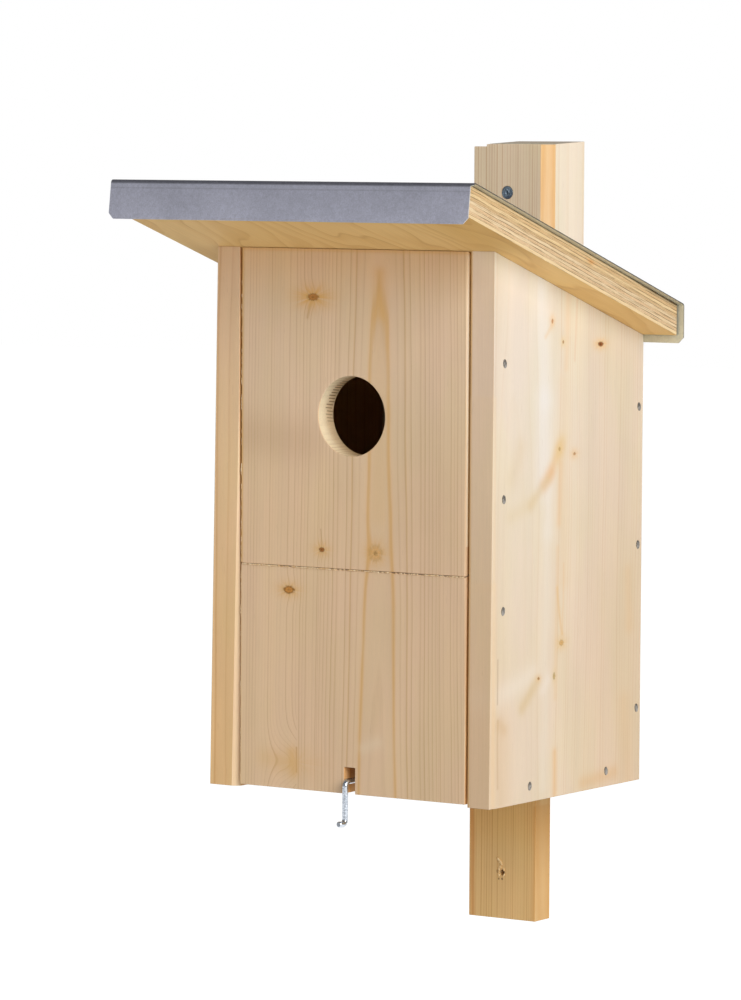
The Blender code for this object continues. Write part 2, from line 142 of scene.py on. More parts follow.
@dataclass(frozen=True)
class Signal:
    """What a node gives out. Sums on it add the nodes that work them out, on vectors and colours too."""

    graph: Graph
    socket: bpy.types.NodeSocket

    def __add__(self, other: Value) -> Signal:
        """The sum."""
        return self.graph.step("ADD", self, other)

    def __sub__(self, other: Value) -> Signal:
        """The difference."""
        return self.graph.step("SUBTRACT", self, other)

    def __rsub__(self, other: Value) -> Signal:
        """A plain number less this one."""
        return self.graph.step("SUBTRACT", other, self)

    def __mul__(self, other: Value) -> Signal:
        """The product; a vector or colour times a number is scaled."""
        scaled = self.graph.wide(self) and not self.graph.wide(other)
        return self.graph.scaled(self, other) if scaled else self.graph.step("MULTIPLY", self, other)

    def __truediv__(self, other: Value) -> Signal:
        """The quotient."""
        return self.graph.step("DIVIDE", self, other)

    def __abs__(self) -> Signal:
        """The number without its sign."""
        return self.graph.step("ABSOLUTE", self)

    def fraction(self) -> Signal:
        """What is left over past the last whole number."""
        return self.graph.step("FRACT", self)

    def whole(self) -> Signal:
        """The last whole number passed."""
        return self.graph.step("FLOOR", self)

    def length(self) -> Signal:
        """A vector's length."""
        return self.graph.step("LENGTH", self)

    def gap(self, middle: Value) -> Signal:
        """How far the number is from another, never negative."""
        return abs(self - middle)

    def bell(self, width: Value) -> Signal:
        """One at nothing, falling softly to nothing past the width."""
        share = self / width
        return self.graph.step("EXPONENT", share * share * -1)

    def rise(self, low: float, high: float, bottom: float = 0, top: float = 1) -> Signal:
        """A smooth step from bottom to top as the number goes from low to high."""
        inputs = {"Value": self, "From Min": low, "From Max": high, "To Min": bottom, "To Max": top}
        return self.graph.out("ShaderNodeMapRange", inputs, interpolation_type="SMOOTHSTEP")

    def window(self, start: float, end: float, soft: float) -> Signal:
        """One between start and end, falling to nothing within the soft distance outside them."""
        return self.rise(start - soft, start) * self.rise(end, end + soft, 1, 0)


Value = Signal | bpy.types.NodeSocket | float | Sequence[float]


class Graph:
    """Adds nodes to one tree, joined by their sockets as they are made."""

    def __init__(self, tree: bpy.types.NodeTree) -> None:
        """Starts on an existing tree."""
        self.tree = tree

    def feed(self, socket: bpy.types.NodeSocket, value: Value) -> None:
        """Links or sets one input.

        Args:
            socket: the input.
            value: what goes into it; a plain colour is given its alpha here.
        """
        source = value.socket if isinstance(value, Signal) else value
        if isinstance(source, bpy.types.NodeSocket):
            self.tree.links.new(source, socket)
        else:
            socket.default_value = (*source, 1) if socket.type == "RGBA" else source

    def add(
        self, kind: str, inputs: Mapping[str | int, Value] | None = None, **settings: object
    ) -> bpy.types.Node:
        """Adds a node.

        Args:
            kind: its type name.
            inputs: what goes into its sockets, by name or number.
            settings: its own properties.

        Returns:
            The new node.
        """
        node = self.tree.nodes.new(kind)
        for name, value in settings.items():
            setattr(node, name, value)
        for key, value in (inputs or {}).items():
            self.feed(node.inputs[key], value)
        return node

    def out(
        self,
        kind: str,
        inputs: Mapping[str | int, Value] | None = None,
        output: str | int = 0,
        **settings: object,
    ) -> Signal:
        """Adds a node as above and gives one of its outputs."""
        return Signal(self, self.add(kind, inputs, **settings).outputs[output])

    @staticmethod
    def wide(value: Value) -> bool:
        """Whether a value is a vector or a colour."""
        kind = value.socket.type if isinstance(value, Signal) else ""
        return kind in ("VECTOR", "RGBA") or isinstance(value, tuple)

    def step(self, operation: str, *values: Value) -> Signal:
        """One step of arithmetic, on vectors if the first value is one.

        Args:
            operation: the Math or Vector Math node's operation.
            values: what it works on.

        Returns:
            The result.
        """
        inputs = dict(enumerate(values))
        if not self.wide(values[0]):
            return self.out("ShaderNodeMath", inputs, operation=operation)
        output = "Value" if operation in ("DOT_PRODUCT", "LENGTH", "DISTANCE") else "Vector"
        return self.out("ShaderNodeVectorMath", inputs, output, operation=operation)

    def scaled(self, colour: Value, amount: Value) -> Signal:
        """A vector or colour times a number."""
        return self.out("ShaderNodeVectorMath", {0: colour, "Scale": amount}, operation="SCALE")

    def combine(self, x: Value = 0, y: Value = 0, z: Value = 0) -> Signal:
        """A vector from three numbers."""
        return self.out("ShaderNodeCombineXYZ", {0: x, 1: y, 2: z})

    def separate(self, vector: Value) -> tuple[Signal, ...]:
        """The three numbers of a vector."""
        node = self.add("ShaderNodeSeparateXYZ", {0: vector})
        return tuple(Signal(self, output) for output in node.outputs)

    def noise(self, place: Value, scale: float = 1, detail: float = 2, roughness: float = 0.5) -> Signal:
        """Smooth noise from 0 to 1 about a half."""
        inputs = {"Vector": place, "Scale": scale, "Detail": detail, "Roughness": roughness}
        return self.out("ShaderNodeTexNoise", inputs, noise_dimensions="3D")

    def grained(self, place: Signal, steps: Point, detail: float = 2, roughness: float = 0.5) -> Signal:
        """Noise whose scale differs along the three axes."""
        return self.noise(place * steps, 1, detail, roughness)

    def random(self, number: Value) -> Signal:
        """A random number from 0 to 1 for each whole number."""
        return self.out("ShaderNodeTexWhiteNoise", {"W": number}, noise_dimensions="1D")

    def mix(self, share: Value, first: Value, second: Value) -> Signal:
        """A blend of two colours."""
        return self.out("ShaderNodeMix", {0: share, 6: first, 7: second}, 2, data_type="RGBA")

    def facing(self, direction: Sequence[float]) -> Signal:
        """How squarely the surface faces a direction, from -1 to 1."""
        return self.step("DOT_PRODUCT", self.out("ShaderNodeTexCoord", output="Normal"), tuple(direction))

    def located(self, origin: Vector, turn: Matrix) -> Signal:
        """Finds the shaded point.

        Args:
            origin: where its numbers start, in the row frame.
            turn: its rows are the directions that the numbers run along.

        Returns:
            The point in millimetres.
        """
        inputs = {
            "Vector": self.out("ShaderNodeTexCoord", output="Object"),
            "Location": tuple(-(turn @ origin) * MM),
            "Rotation": tuple(turn.to_euler()),
            "Scale": (MM, MM, MM),
        }
        return self.out("ShaderNodeMapping", inputs, vector_type="POINT")


class Paint(Graph):
    """A material in the making: its nodes and its Principled shader."""

    def __init__(self, name: str, origin: Vector | None = None, turn: Matrix | None = None) -> None:
        """Makes the empty material and finds the shaded point.

        Args:
            name: the material's name.
            origin: where the point's numbers start, if not at the row frame's origin.
            turn: the directions that they run along, if not those of the row frame.
        """
        self.material = bpy.data.materials.new(name)
        self.material.use_nodes = True
        super().__init__(self.material.node_tree)
        self.place = self.located(origin or Vector(), turn or Matrix.Identity(3))

    def finish(
        self,
        colour: Value,
        roughness: Value,
        relief: tuple[float, float, Value] | None = None,
        gloss: float = 0.5,
        metallic: float = 0,
    ) -> bpy.types.Material:
        """Sets the shader.

        Args:
            colour: its base colour.
            roughness: its roughness.
            relief: the bump's strength, its depth in metres and its height, if there is one.
            gloss: its specular level.
            metallic: how much it is a metal.

        Returns:
            The finished material.
        """
        shader = self.tree.nodes["Principled BSDF"]
        looks = {"Base Color": colour, "Roughness": roughness, "Metallic": metallic}
        looks["Specular IOR Level"] = gloss
        if relief:
            inputs = dict(zip(("Strength", "Distance", "Height"), relief))
            looks["Normal"] = self.out("ShaderNodeBump", inputs)
        for name, value in looks.items():
            self.feed(shader.inputs[name], value)
        return self.material


class Facing(Enum):
    """Which way a board's show face looks; the value's rows give across, depth and along."""

    FRONT = ((1, 0, 0), (0, 1, 0), (0, 0, 1))
    RIGHT = ((0, 1, 0), (-1, 0, 0), (0, 0, 1))
    LEFT = ((0, -1, 0), (1, 0, 0), (0, 0, 1))
    BACK = ((-1, 0, 0), (0, -1, 0), (0, 0, 1))
    UNDER = ((0, 1, 0), (0, 0, 1), (1, 0, 0))


@dataclass(frozen=True)
class Knot:
    """A branch that grew through the board. Places and radii are in board coordinates, mm."""

    across: float
    along: float
    radius: float
    tall: float = 1.2
    dark: float = 0.7
    glow: float = 0.5
    push: float = 1.6
    halo: float = 2.2
    heart: float = 0.0
    rim: float = 0.6
    creased: bool = False
    tone: Screen = (176, 112, 48)
    aura: Screen = (236, 186, 112)


@dataclass(frozen=True)
class Streak:
    """A soft stripe between two points of the show face, in board coordinates, mm."""

    start: Spot
    end: Spot
    width: float
    tone: Screen
    share: float
    sway: float = 1.0


@dataclass(frozen=True)
class Band:
    """A single ring that stands out, by its distance from the tree's heart and its width on the face, mm."""

    reach: float
    width: float = 0.3
    share: float = 0.6
    tone: Screen = (222, 168, 100)


@dataclass(frozen=True)
class DepthLine:
    """A line of other colour at a depth parallel to the show face, seen where the board's edges cut it, mm.
    """

    depth: float
    width: float
    share: float
    tone: Screen


@dataclass(frozen=True)
class Wash:
    """A slow change of shade from one point of the show face to another, in board coordinates, mm."""

    start: Spot
    end: Spot
    times: Colour


@dataclass(frozen=True)
class Rings:
    """How the board lies in the tree: where the heart is, and how the rings run."""

    heart_across: float
    heart_depth: float
    width: float
    taper: float = 0.0083
    wander: float = 1.2
    contrast: float = 0.5
    drift: float = 1.4
    anchor: float | None = None


@dataclass(frozen=True)
class Tint:
    """A change of colour on the faces that look one way, at the height high and at the foot."""

    towards: Point
    times: Colour
    foot: Colour | None = None
    high: float = 320.0


@dataclass(frozen=True)
class Spruce:
    """Planed, untreated spruce."""

    name: str
    facing: Facing
    rings: Rings
    pale: Screen
    late: Screen
    origin: Point = (0, 0, 0)
    knots: tuple[Knot, ...] = ()
    streaks: tuple[Streak, ...] = ()
    bands: tuple[Band, ...] = ()
    layers: tuple[DepthLine, ...] = ()
    washes: tuple[Wash, ...] = ()
    tints: tuple[Tint, ...] = ()
    joint: float = 0
    second: Rings | None = None
    stronger: tuple[float, float, float, float] = (0, 1, 1, 1)
    seed: float = 0


class Timber(Paint):
    """The paint of one board: the board's coordinates, and its wood laid over them step by step."""

    def __init__(self, wood: Spruce, frame: BoxFrame) -> None:
        """Lays out the board's coordinates, its knots and its rings.

        Args:
            wood: the board's wood.
            frame: the box frame that the board's origin is given in.
        """
        super().__init__(wood.name, frame.millimetres(*wood.origin), Matrix(wood.facing.value))
        self.wood = wood
        self.across, self.depth, self.along = self.separate(self.place)
        self.flat = self.combine(self.across, self.along)
        self.shifted = self.place + (wood.seed * 31, wood.seed * 17, wood.seed * 53)
        rough = (self.noise(self.shifted, 0.9) - 0.5) * 0.7
        self.shares = [
            (self.flat - (knot.across, knot.along, 0)) * (1 / knot.radius, 1 / (knot.radius * knot.tall), 0)
            for knot in wood.knots
        ]
        self.ragged = [rough + share.length() for share in self.shares]
        self.reach = self._reach()
        self.tone = self._rings()

    def build(self) -> bpy.types.Material:
        """Lays every feature of the wood over its rings.

        Returns:
            The finished material.
        """
        self._patches()
        self._bands()
        self._streaks()
        self._knots()
        self._washes()
        fine = self.grained(self.shifted, (7, 7, 0.35), 2, 0.6)
        fibre = fine * 0.45 + self.grained(self.shifted, (2.2, 2.2, 0.05), 3, 0.6) * 0.55
        self.tone = self.tone * fibre.rise(0.25, 0.75, 0.955, 1.03)
        self._sawn_and_tinted()
        return self.finish(self.tone, fibre.rise(0.2, 0.8, 0.52, 0.66), (0.35, 0.00012, fibre), WOOD_GLOSS)

    def _lay(self, share: Value, tone: Value) -> None:
        """Lays a share of another colour over the wood."""
        self.tone = self.mix(share, self.tone, tone)

    def _on_the_way(self, point: Signal, start: Spot, end: Spot) -> Signal:
        """How far a point is on its way from start to end, which is 1."""
        run = Vector(end) - Vector(start)
        return self.step("DOT_PRODUCT", point - (*start, 0), (*run, 0)) / run.length_squared

    def _reach(self) -> Signal:
        """Distance from the tree's heart, wandering and swelling round the knots, mm.

        Returns:
            The distance at each point.
        """
        rings, second = self.wood.rings, self.wood.second
        heart: Value = (rings.heart_across, rings.heart_depth, 0)
        if second:
            over = self.step("GREATER_THAN", self.across, self.wood.joint)
            shift = (second.heart_across - rings.heart_across, second.heart_depth - rings.heart_depth, 0)
            heart = self.scaled(shift, over) + heart
        reach = (self.combine(self.across, self.depth) - heart).length() + self.along * rings.taper
        slow = self.grained(self.shifted, (0.03, 0.03, 0.006), 1) - 0.5
        quick = self.grained(self.shifted, (0.25, 0.25, 0.02)) - 0.5
        reach = reach + slow * (rings.wander * 2) + quick * 0.4
        for knot, share in zip(self.wood.knots, self.shares):
            bulge = (share * (1, 0.55, 0)).length().bell(2.1) * knot.push
            if knot.creased:
                bulge = bulge * self.step("LESS_THAN", self.across, knot.across)
            reach = reach + bulge
        return reach

    def _turns(self) -> Signal:
        """The rings counted outwards, of uneven width; a ring ends at the anchor, if there is one.

        Returns:
            The count at each point.
        """
        rings, seed = self.wood.rings, self.wood.seed
        drift = self.noise(self.combine(self.reach, seed), 0.13)
        if rings.anchor is None:
            return self.reach / rings.width + (drift - 0.5) * rings.drift
        start = self.noise((rings.anchor, seed, 0), 0.13)
        return (self.reach - rings.anchor) / rings.width + (drift - start) * rings.drift + 0.9

    def _rings(self) -> Signal:
        """Pale early wood that darkens to the thin late-wood line of each ring.

        Returns:
            The colour.
        """
        turns = self._turns()
        share = turns.fraction()
        strength = self.random(turns.whole()).rise(0, 1, 0.15, 1.1)
        line = share.rise(0.62, 0.88) * share.rise(0.9, 1, 1, 0)
        soft = share.rise(0.1, 0.8) * share.rise(0.85, 1, 1, 0) * 0.25
        low, high, bottom, top = self.wood.stronger
        contrast = self.wood.rings.contrast
        gain = self.across.rise(low, high, bottom * contrast, top * contrast)
        pale, late = srgb(*self.wood.pale), srgb(*self.wood.late)
        return self.mix(self.step("MAXIMUM", line, soft) * strength * gain, pale, late)

    def _patches(self) -> None:
        """Wide soft changes of shade and of hue along the board."""
        wide = self.grained(self.shifted, (0.045, 0.045, 0.007))
        hue = self.grained(self.shifted, (0.03, 0.03, 0.012), 3)
        times = self.mix(hue.rise(0.32, 0.68), (1.007, 0.991, 0.995), (0.989, 1, 0.942))
        self.tone = self.tone * wide.rise(0.25, 0.75, 0.96, 1.04) * times

    def _bands(self) -> None:
        """Single rings that are rich in resin, or darker than the rest, and lines of colour at a depth from
        the face.
        """
        slant = self.step("MAXIMUM", self.across.gap(self.wood.rings.heart_across) / self.reach, 0.08)
        broken = self.grained(self.shifted, (0.12, 0.12, 0.018)).rise(0.2, 0.6, 0.4, 1)
        for band in self.wood.bands:
            line = self.reach.gap(band.reach).bell(slant * band.width)
            self._lay(line * broken * band.share, srgb(*band.tone))
        for layer in self.wood.layers:
            line = self.depth.gap(layer.depth).bell(layer.width)
            self._lay(line * layer.share, srgb(*layer.tone))

    def _streaks(self) -> None:
        """Soft stripes that sway a little between their ends."""
        sway = self.grained(self.shifted, (0.08, 0.08, 0.03), 3) - 0.5
        for streak in self.wood.streaks:
            bent = self.flat + self.combine(sway * (MOST_SWAY * streak.sway))
            held = self.out("ShaderNodeClamp", {"Value": self._on_the_way(bent, streak.start, streak.end)})
            run = Vector(streak.end) - Vector(streak.start)
            nearest = self.scaled((*run, 0), held) + (*streak.start, 0)
            mask = self.step("DISTANCE", bent, nearest).bell(streak.width)
            self._lay(mask * streak.share, srgb(*streak.tone))

    def _knots(self) -> None:
        """Each knot's glow, its core with rings of its own, its dark rim and its heart."""
        for knot, share, ragged in zip(self.wood.knots, self.shares, self.ragged):
            rays = self.noise(self.step("NORMALIZE", share), 3.6).rise(0.35, 0.65, 0.55, 1.2)
            self._lay(ragged.bell(knot.halo) * rays * knot.glow, srgb(*knot.aura))
            tone = srgb(*knot.tone)
            rings = (ragged * 3.4).fraction().rise(0.2, 0.9, 0.84, 1.15)
            self._lay(ragged.rise(0.7, 1.15, 1, 0) * knot.dark, self.scaled(tone, rings))
            rim = ragged.gap(0.95).bell(0.24) * rays * (knot.rim * knot.dark)
            self._lay(rim, self.scaled(tone, 0.5))
            self._lay(ragged.rise(0.12, 0.42, 1, 0) * knot.heart, self.scaled(tone, 0.32))

    def _washes(self) -> None:
        """Slow changes of shade across or along the board."""
        for wash in self.wood.washes:
            share = self._on_the_way(self.flat, wash.start, wash.end).rise(0, 1)
            self.tone = self.tone * self.mix(share, (1, 1, 1), wash.times)

    def _sawn_and_tinted(self) -> None:
        """Short dashes of resin, darker and rougher sawn ends, and the tints of single faces."""
        dash = self.grained(self.shifted, (2.6, 2.6, 0.11), 0).rise(0.8, 0.88)
        self._lay(dash * 0.3, self.scaled(srgb(*self.wood.late), 0.72))
        end = abs(self.facing(self.wood.facing.value[2])).rise(0.75, 0.95)
        speck = self.noise(self.shifted, 2.6, 3, 0.7)
        self._lay(end, self.tone * speck.rise(0.3, 0.7, 0.66, 0.9))
        for tint in self.wood.tints:
            times: Value = tint.times
            if tint.foot:
                times = self.mix(self.along.rise(0, tint.high), tint.foot, tint.times)
            self._lay(self.facing(tint.towards).rise(0.8, 0.95), self.tone * times)


@dataclass(frozen=True)
class Drilled:
    """The wall of the entrance hole, cut across the grain above and below and along it at the sides, with
    painted shade deeper in.
    """

    name: str = "spruce_drilled"
    radius: float = 24.0
    bright: Colour = srgb(255, 235, 198)
    deep_painted_shade: Colour = srgb(226, 197, 156)
    ringed: Colour = srgb(204, 168, 124)
    burnt: Colour = srgb(96, 56, 22)

    def build(self, centre: Vector) -> bpy.types.Material:
        """Makes the material.

        Args:
            centre: where the hole's axis meets the front face, in the row frame.

        Returns:
            The finished material.
        """
        paint = Paint(self.name, centre)
        across, depth, along = paint.separate(paint.place)
        turn = paint.step("ARCTAN2", along, across * -1)
        arc = turn * self.radius
        speck = paint.noise(paint.place, 1.1, 3, 0.6)
        # painted shade: the bore's wall darkens from the bright tone near the face to the deeper tone 3 to 14
        # mm in
        tone = paint.mix(depth.rise(3, 14), self.bright, self.deep_painted_shade) * speck.rise(0.3, 0.7, 0.94, 1.03)
        ends = abs(paint.step("SINE", turn)).rise(0.5, 0.95, 0.1, 0.5)
        tone = paint.mix((across / 2.3).fraction().rise(0.4, 0.9) * ends, tone, self.ringed)
        bored = (depth * 0.1 + arc) / 2
        dash = bored.fraction().gap(0.5).bell(0.17)
        long = (depth + paint.random(bored.whole()) * 2.5).window(10.2, 16.6, 0.8)
        high = turn.window(-0.16, 1, 0.08) * turn.rise(-0.2, 0.6, 0.5, 1)
        tone = paint.mix(dash * long * high * 0.9, tone, self.burnt)
        cut = paint.grained(paint.combine(arc, depth), (1.3, 0.25, 1))
        return paint.finish(tone, 0.62, (0.5, 0.0003, cut), WOOD_GLOSS)


@dataclass(frozen=True)
class Splinters:
    """Torn, raised fibres: paler than the planed face."""

    name: str
    pale: Colour
    dark: Colour

    def build(self) -> bpy.types.Material:
        """Makes the material.

        Returns:
            The finished material.
        """
        paint = Paint(self.name)
        speck = paint.noise(paint.place, 0.7).rise(0.35, 0.65)
        return paint.finish(paint.mix(speck, self.pale, self.dark), 0.75, gloss=0.2)


@dataclass(frozen=True)
class Plywood:
    """Nine-ply board, seen on its faces and its sawn edges; lengths in mm, the slope in degrees."""

    name: str = "plywood_dressed"
    plies: int = 9
    thickness: float = 18.0
    slope: float = 17.3
    eave_height: float = 328.6
    rear: float = 171.8
    glue: Colour = srgb(112, 74, 32)
    # painted shadow: the colour of the dark lines along the edge's top, under the sheet, and at its rear,
    # against the flange
    gap: Colour = srgb(58, 42, 24)


class Laminate(Paint):
    """The paint of the plywood: the sloping roof's own coordinates, and the plies laid over them."""

    def __init__(self, ply: Plywood, frame: BoxFrame) -> None:
        """Lays out the roof's coordinates and its plies.

        Args:
            ply: the plywood.
            frame: the box frame.
        """
        self.turn = Matrix.Rotation(math.radians(ply.slope), 3, "X")
        super().__init__(ply.name, frame.millimetres(0, 0, ply.eave_height), self.turn)
        self.ply = ply
        self.across, self.along, self.height = self.separate(self.place)
        self.rough = self.grained(self.place, (0.3, 0.9, 3.2), 3, 0.7)
        wave = self.grained(self.place, (0.06, 0.05, 0.3)) - 0.5
        self.level = (wave * 0.8 + self.height) / (ply.thickness / ply.plies)

    def build(self) -> bpy.types.Material:
        """Joins the faces, the edges and the glue lines between the plies.

        Returns:
            The finished material.
        """
        broken = self.grained(self.place, (0.5, 0.05, 1.3), 3, 0.65).rise(0.42, 0.56, 0.15, 1)
        seam = (0.5 - self.level.fraction().gap(0.5)).bell(0.09) * broken
        edge = self.mix(seam, self._edge(), self.ply.glue)
        line = self.grained(self.place, (1.1, 0.02, 0.5), 3, 0.6)
        face = abs(self.facing(self.turn.transposed() @ Vector((0, 0, 1)))).rise(0.8, 0.95)
        sawn = self.rough - seam * 0.8
        heights = self.mix(face, self.combine(sawn, sawn, sawn), self.combine(line, line, line))
        tone = self.mix(face, edge, self._veneer(line.rise(0.3, 0.7, 0.96, 1.03)))
        return self.finish(tone, 0.62, (0.4, 0.0002, heights), WOOD_GLOSS)

    def _edge(self) -> Signal:
        """The sawn edge: cream plies of slightly different shades, the upper ones yellower, with painted
        shadow along its top under the sheet and at its rear against the flange.

        Returns:
            The colour.
        """
        ply = self.level.whole()
        fine = self.grained(self.place, (2, 0.1, 3.2), 3, 0.6)
        with_grain = self.mix(fine.rise(0.3, 0.7), srgb(250, 228, 190), srgb(232, 202, 156))
        across_grain = self.mix(self.rough.rise(0.35, 0.7), srgb(240, 208, 166), srgb(206, 166, 118))
        edge = self.mix(abs(self.step("MODULO", ply, 2)) * 0.75, with_grain, across_grain)
        edge = edge * self.random(ply + 7).rise(0, 1, 0.93, 1.05) * (0.93, 0.915, 0.9)
        thin = self.grained(self.place, (2, 0.035, 4.5), 3, 0.6).rise(0.56, 0.64)
        edge = self.mix(thin * 0.65, edge, srgb(140, 100, 54))
        edge = self.mix(self.height.rise(9, 12), edge, edge * (0.93, 0.9, 0.8))
        edge = self.mix(self.height.rise(1.6, 2.3, 0.5, 0), edge, srgb(244, 214, 160))
        patch = self.combine((self.along - 68) / 4.2, (self.height - 14) / 1.2).length().bell(1)
        edge = self.mix(patch * 0.75, edge, srgb(214, 146, 66))
        slope = math.radians(self.ply.slope)
        back = self.step("DOT_PRODUCT", self.place, (0, math.cos(slope), math.sin(slope)))
        above = self.height.gap(self.ply.thickness).bell(self.along.rise(80, 170, 0.5, 1.3))
        above = above * self.along.rise(20, 150, 0.5, 1)
        # painted shadow: dark lines under the sheet along the top and against the rear flange
        return self.mix(self.step("MAXIMUM", back.gap(self.ply.rear).bell(0.6), above), edge, self.ply.gap)

    def _veneer(self, line: Signal) -> Signal:
        """Colours the faces: wide flames along the slope, with thin brown lines between them, and painted
        shade further up the slope.

        Args:
            line: the shade of the fine lines along the grain.

        Returns:
            The colour.
        """
        bend = self.grained(self.place, (0.016, 0.006, 0.02))
        share = (bend * 9 + self.across * 0.05).fraction()
        flame = share.rise(0.25, 0.85) * share.rise(0.9, 1, 1, 0) * 0.3
        tone = self.mix(flame, srgb(247, 208, 139), srgb(222, 172, 100)) * line
        # painted shade: the underside darkens further up the slope, away from the light from below
        tone = tone * self.mix(self.along.rise(10, 120), (1, 1, 1), (0.94, 0.91, 0.86))
        corner = self.across.rise(70, 105) * self.along.rise(25, -15)
        tone = self.mix(corner, tone, tone * (0.89, 0.82, 0.67))
        broken = self.grained(self.place, (0.05, 0.02, 0.05)).rise(0.42, 0.62)
        return self.mix(share.gap(0.9).bell(0.05) * broken * 0.22, tone, srgb(178, 122, 66))


@dataclass(frozen=True)
class Galvanised:
    """Dull galvanised sheet with a painted dark reflection along its folds, which are given as (y, z) in
    millimetres.
    """

    name: str
    tone: Colour
    folds: tuple[Spot, ...] = ()
    metallic: float = 0.75
    mottle: float = 0.15

    def build(self, frame: BoxFrame) -> bpy.types.Material:
        """Makes the material.

        Args:
            frame: the box frame that the folds are given in.

        Returns:
            The finished material.
        """
        paint = Paint(self.name, frame.millimetres(0, 0, 0))
        inputs = {"Vector": paint.place, "Scale": 0.55}
        cells = paint.out("ShaderNodeTexVoronoi", inputs, "Color", voronoi_dimensions="3D")
        grain = paint.noise(paint.place, 1.1, 4, 0.72)
        tone = paint.scaled(self.tone, grain.rise(0.25, 0.75, 1 - self.mottle, 1 + self.mottle))
        tone = tone * paint.separate(cells)[0].rise(0, 1, 0.96, 1.04)
        tone = tone * paint.noise(paint.place, 0.03).rise(0.3, 0.7, 0.95, 1.05)
        _, back, up = paint.separate(paint.place)
        for fold in self.folds:
            away = paint.step("DISTANCE", paint.combine(back, up), (*fold, 0))
            crease = away.gap(5.4).bell(0.4) * -0.16 + 1
            # painted dark reflection: the sheet darkened to 0.39 within about 3 mm of each fold's line;
            # crease is a thin bend line just beyond it
            tone = tone * (away.rise(2.1, 3.3, 0.39, 1) * crease)
        roughness = grain.rise(0.2, 0.8, 0.42, 0.6)
        return paint.finish(tone, roughness, (0.25, 0.0001, grain), metallic=self.metallic)


@dataclass(frozen=True)
class BareMetal:
    """A plated or bare metal of small fittings."""

    name: str
    tone: Colour
    roughness: float
    dull: Colour
    cell: float = 0.8

    def build(self) -> bpy.types.Material:
        """Makes the material.

        Returns:
            The finished material.
        """
        paint = Paint(self.name)
        stain = paint.noise(paint.place, self.cell, 3, 0.6)
        roughness = stain.rise(0.3, 0.7, self.roughness * 0.8, self.roughness * 1.3)
        tone = paint.mix(stain.rise(0.4, 0.7), self.tone, self.dull)
        return paint.finish(tone, roughness, (0.15, 0.0001, stain), metallic=1)


def linked(name: str, data: bpy.types.ID) -> bpy.types.Object:
    """Puts a new object in the scene.

    Args:
        name: its name.
        data: its mesh, lamp or camera.

    Returns:
        The object, at the origin.
    """
    made = bpy.data.objects.new(name, data)
    bpy.context.scene.collection.objects.link(made)
    return made


def packed_shape(cad: bpy.types.Object, flatness: float) -> bmesh.types.BMesh:
    """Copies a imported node's triangles and makes its flat faces whole again.

    Args:
        cad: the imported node.
        flatness: the angle in degrees below which neighbours count as one face.

    Returns:
        The copy.
    """
    bm = bmesh.new()
    bm.from_mesh(cad.data)
    bmesh.ops.remove_doubles(bm, verts=bm.verts, dist=SAME_POINT)
    bmesh.ops.dissolve_limit(bm, angle_limit=math.radians(flatness), verts=bm.verts, edges=bm.edges)
    return bm


def closed_mesh(bm: bmesh.types.BMesh, name: str) -> bpy.types.Mesh:
    """Turns a finished shape into a mesh.

    Args:
        bm: the shape, which is freed.
        name: the mesh's name.

    Returns:
        The mesh.
    """
    mesh = bpy.data.meshes.new(name)
    bm.to_mesh(mesh)
    bm.free()
    return mesh


def show(
    name: str,
    mesh: bpy.types.Mesh,
    materials: Iterable[bpy.types.Material],
    body: str,
    nodes: Sequence[str] = (),
) -> bpy.types.Object:
    """Puts a finished mesh in the scene, riding on its body.

    Args:
        name: the piece's name.
        mesh: its mesh, in the row frame.
        materials: its finishes, in the order of their slots.
        body: the body that it rides on.
        nodes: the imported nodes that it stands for.

    Returns:
        The piece.
    """
    mesh.name = name
    if mesh.materials:
        mesh.materials.clear()
    for material in materials:
        mesh.materials.append(material)
    piece = linked(name, mesh)
    if nodes:
        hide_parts(*nodes)
    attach(piece, body)
    LOG.info("%s: %d faces", name, len(mesh.polygons))
    return piece


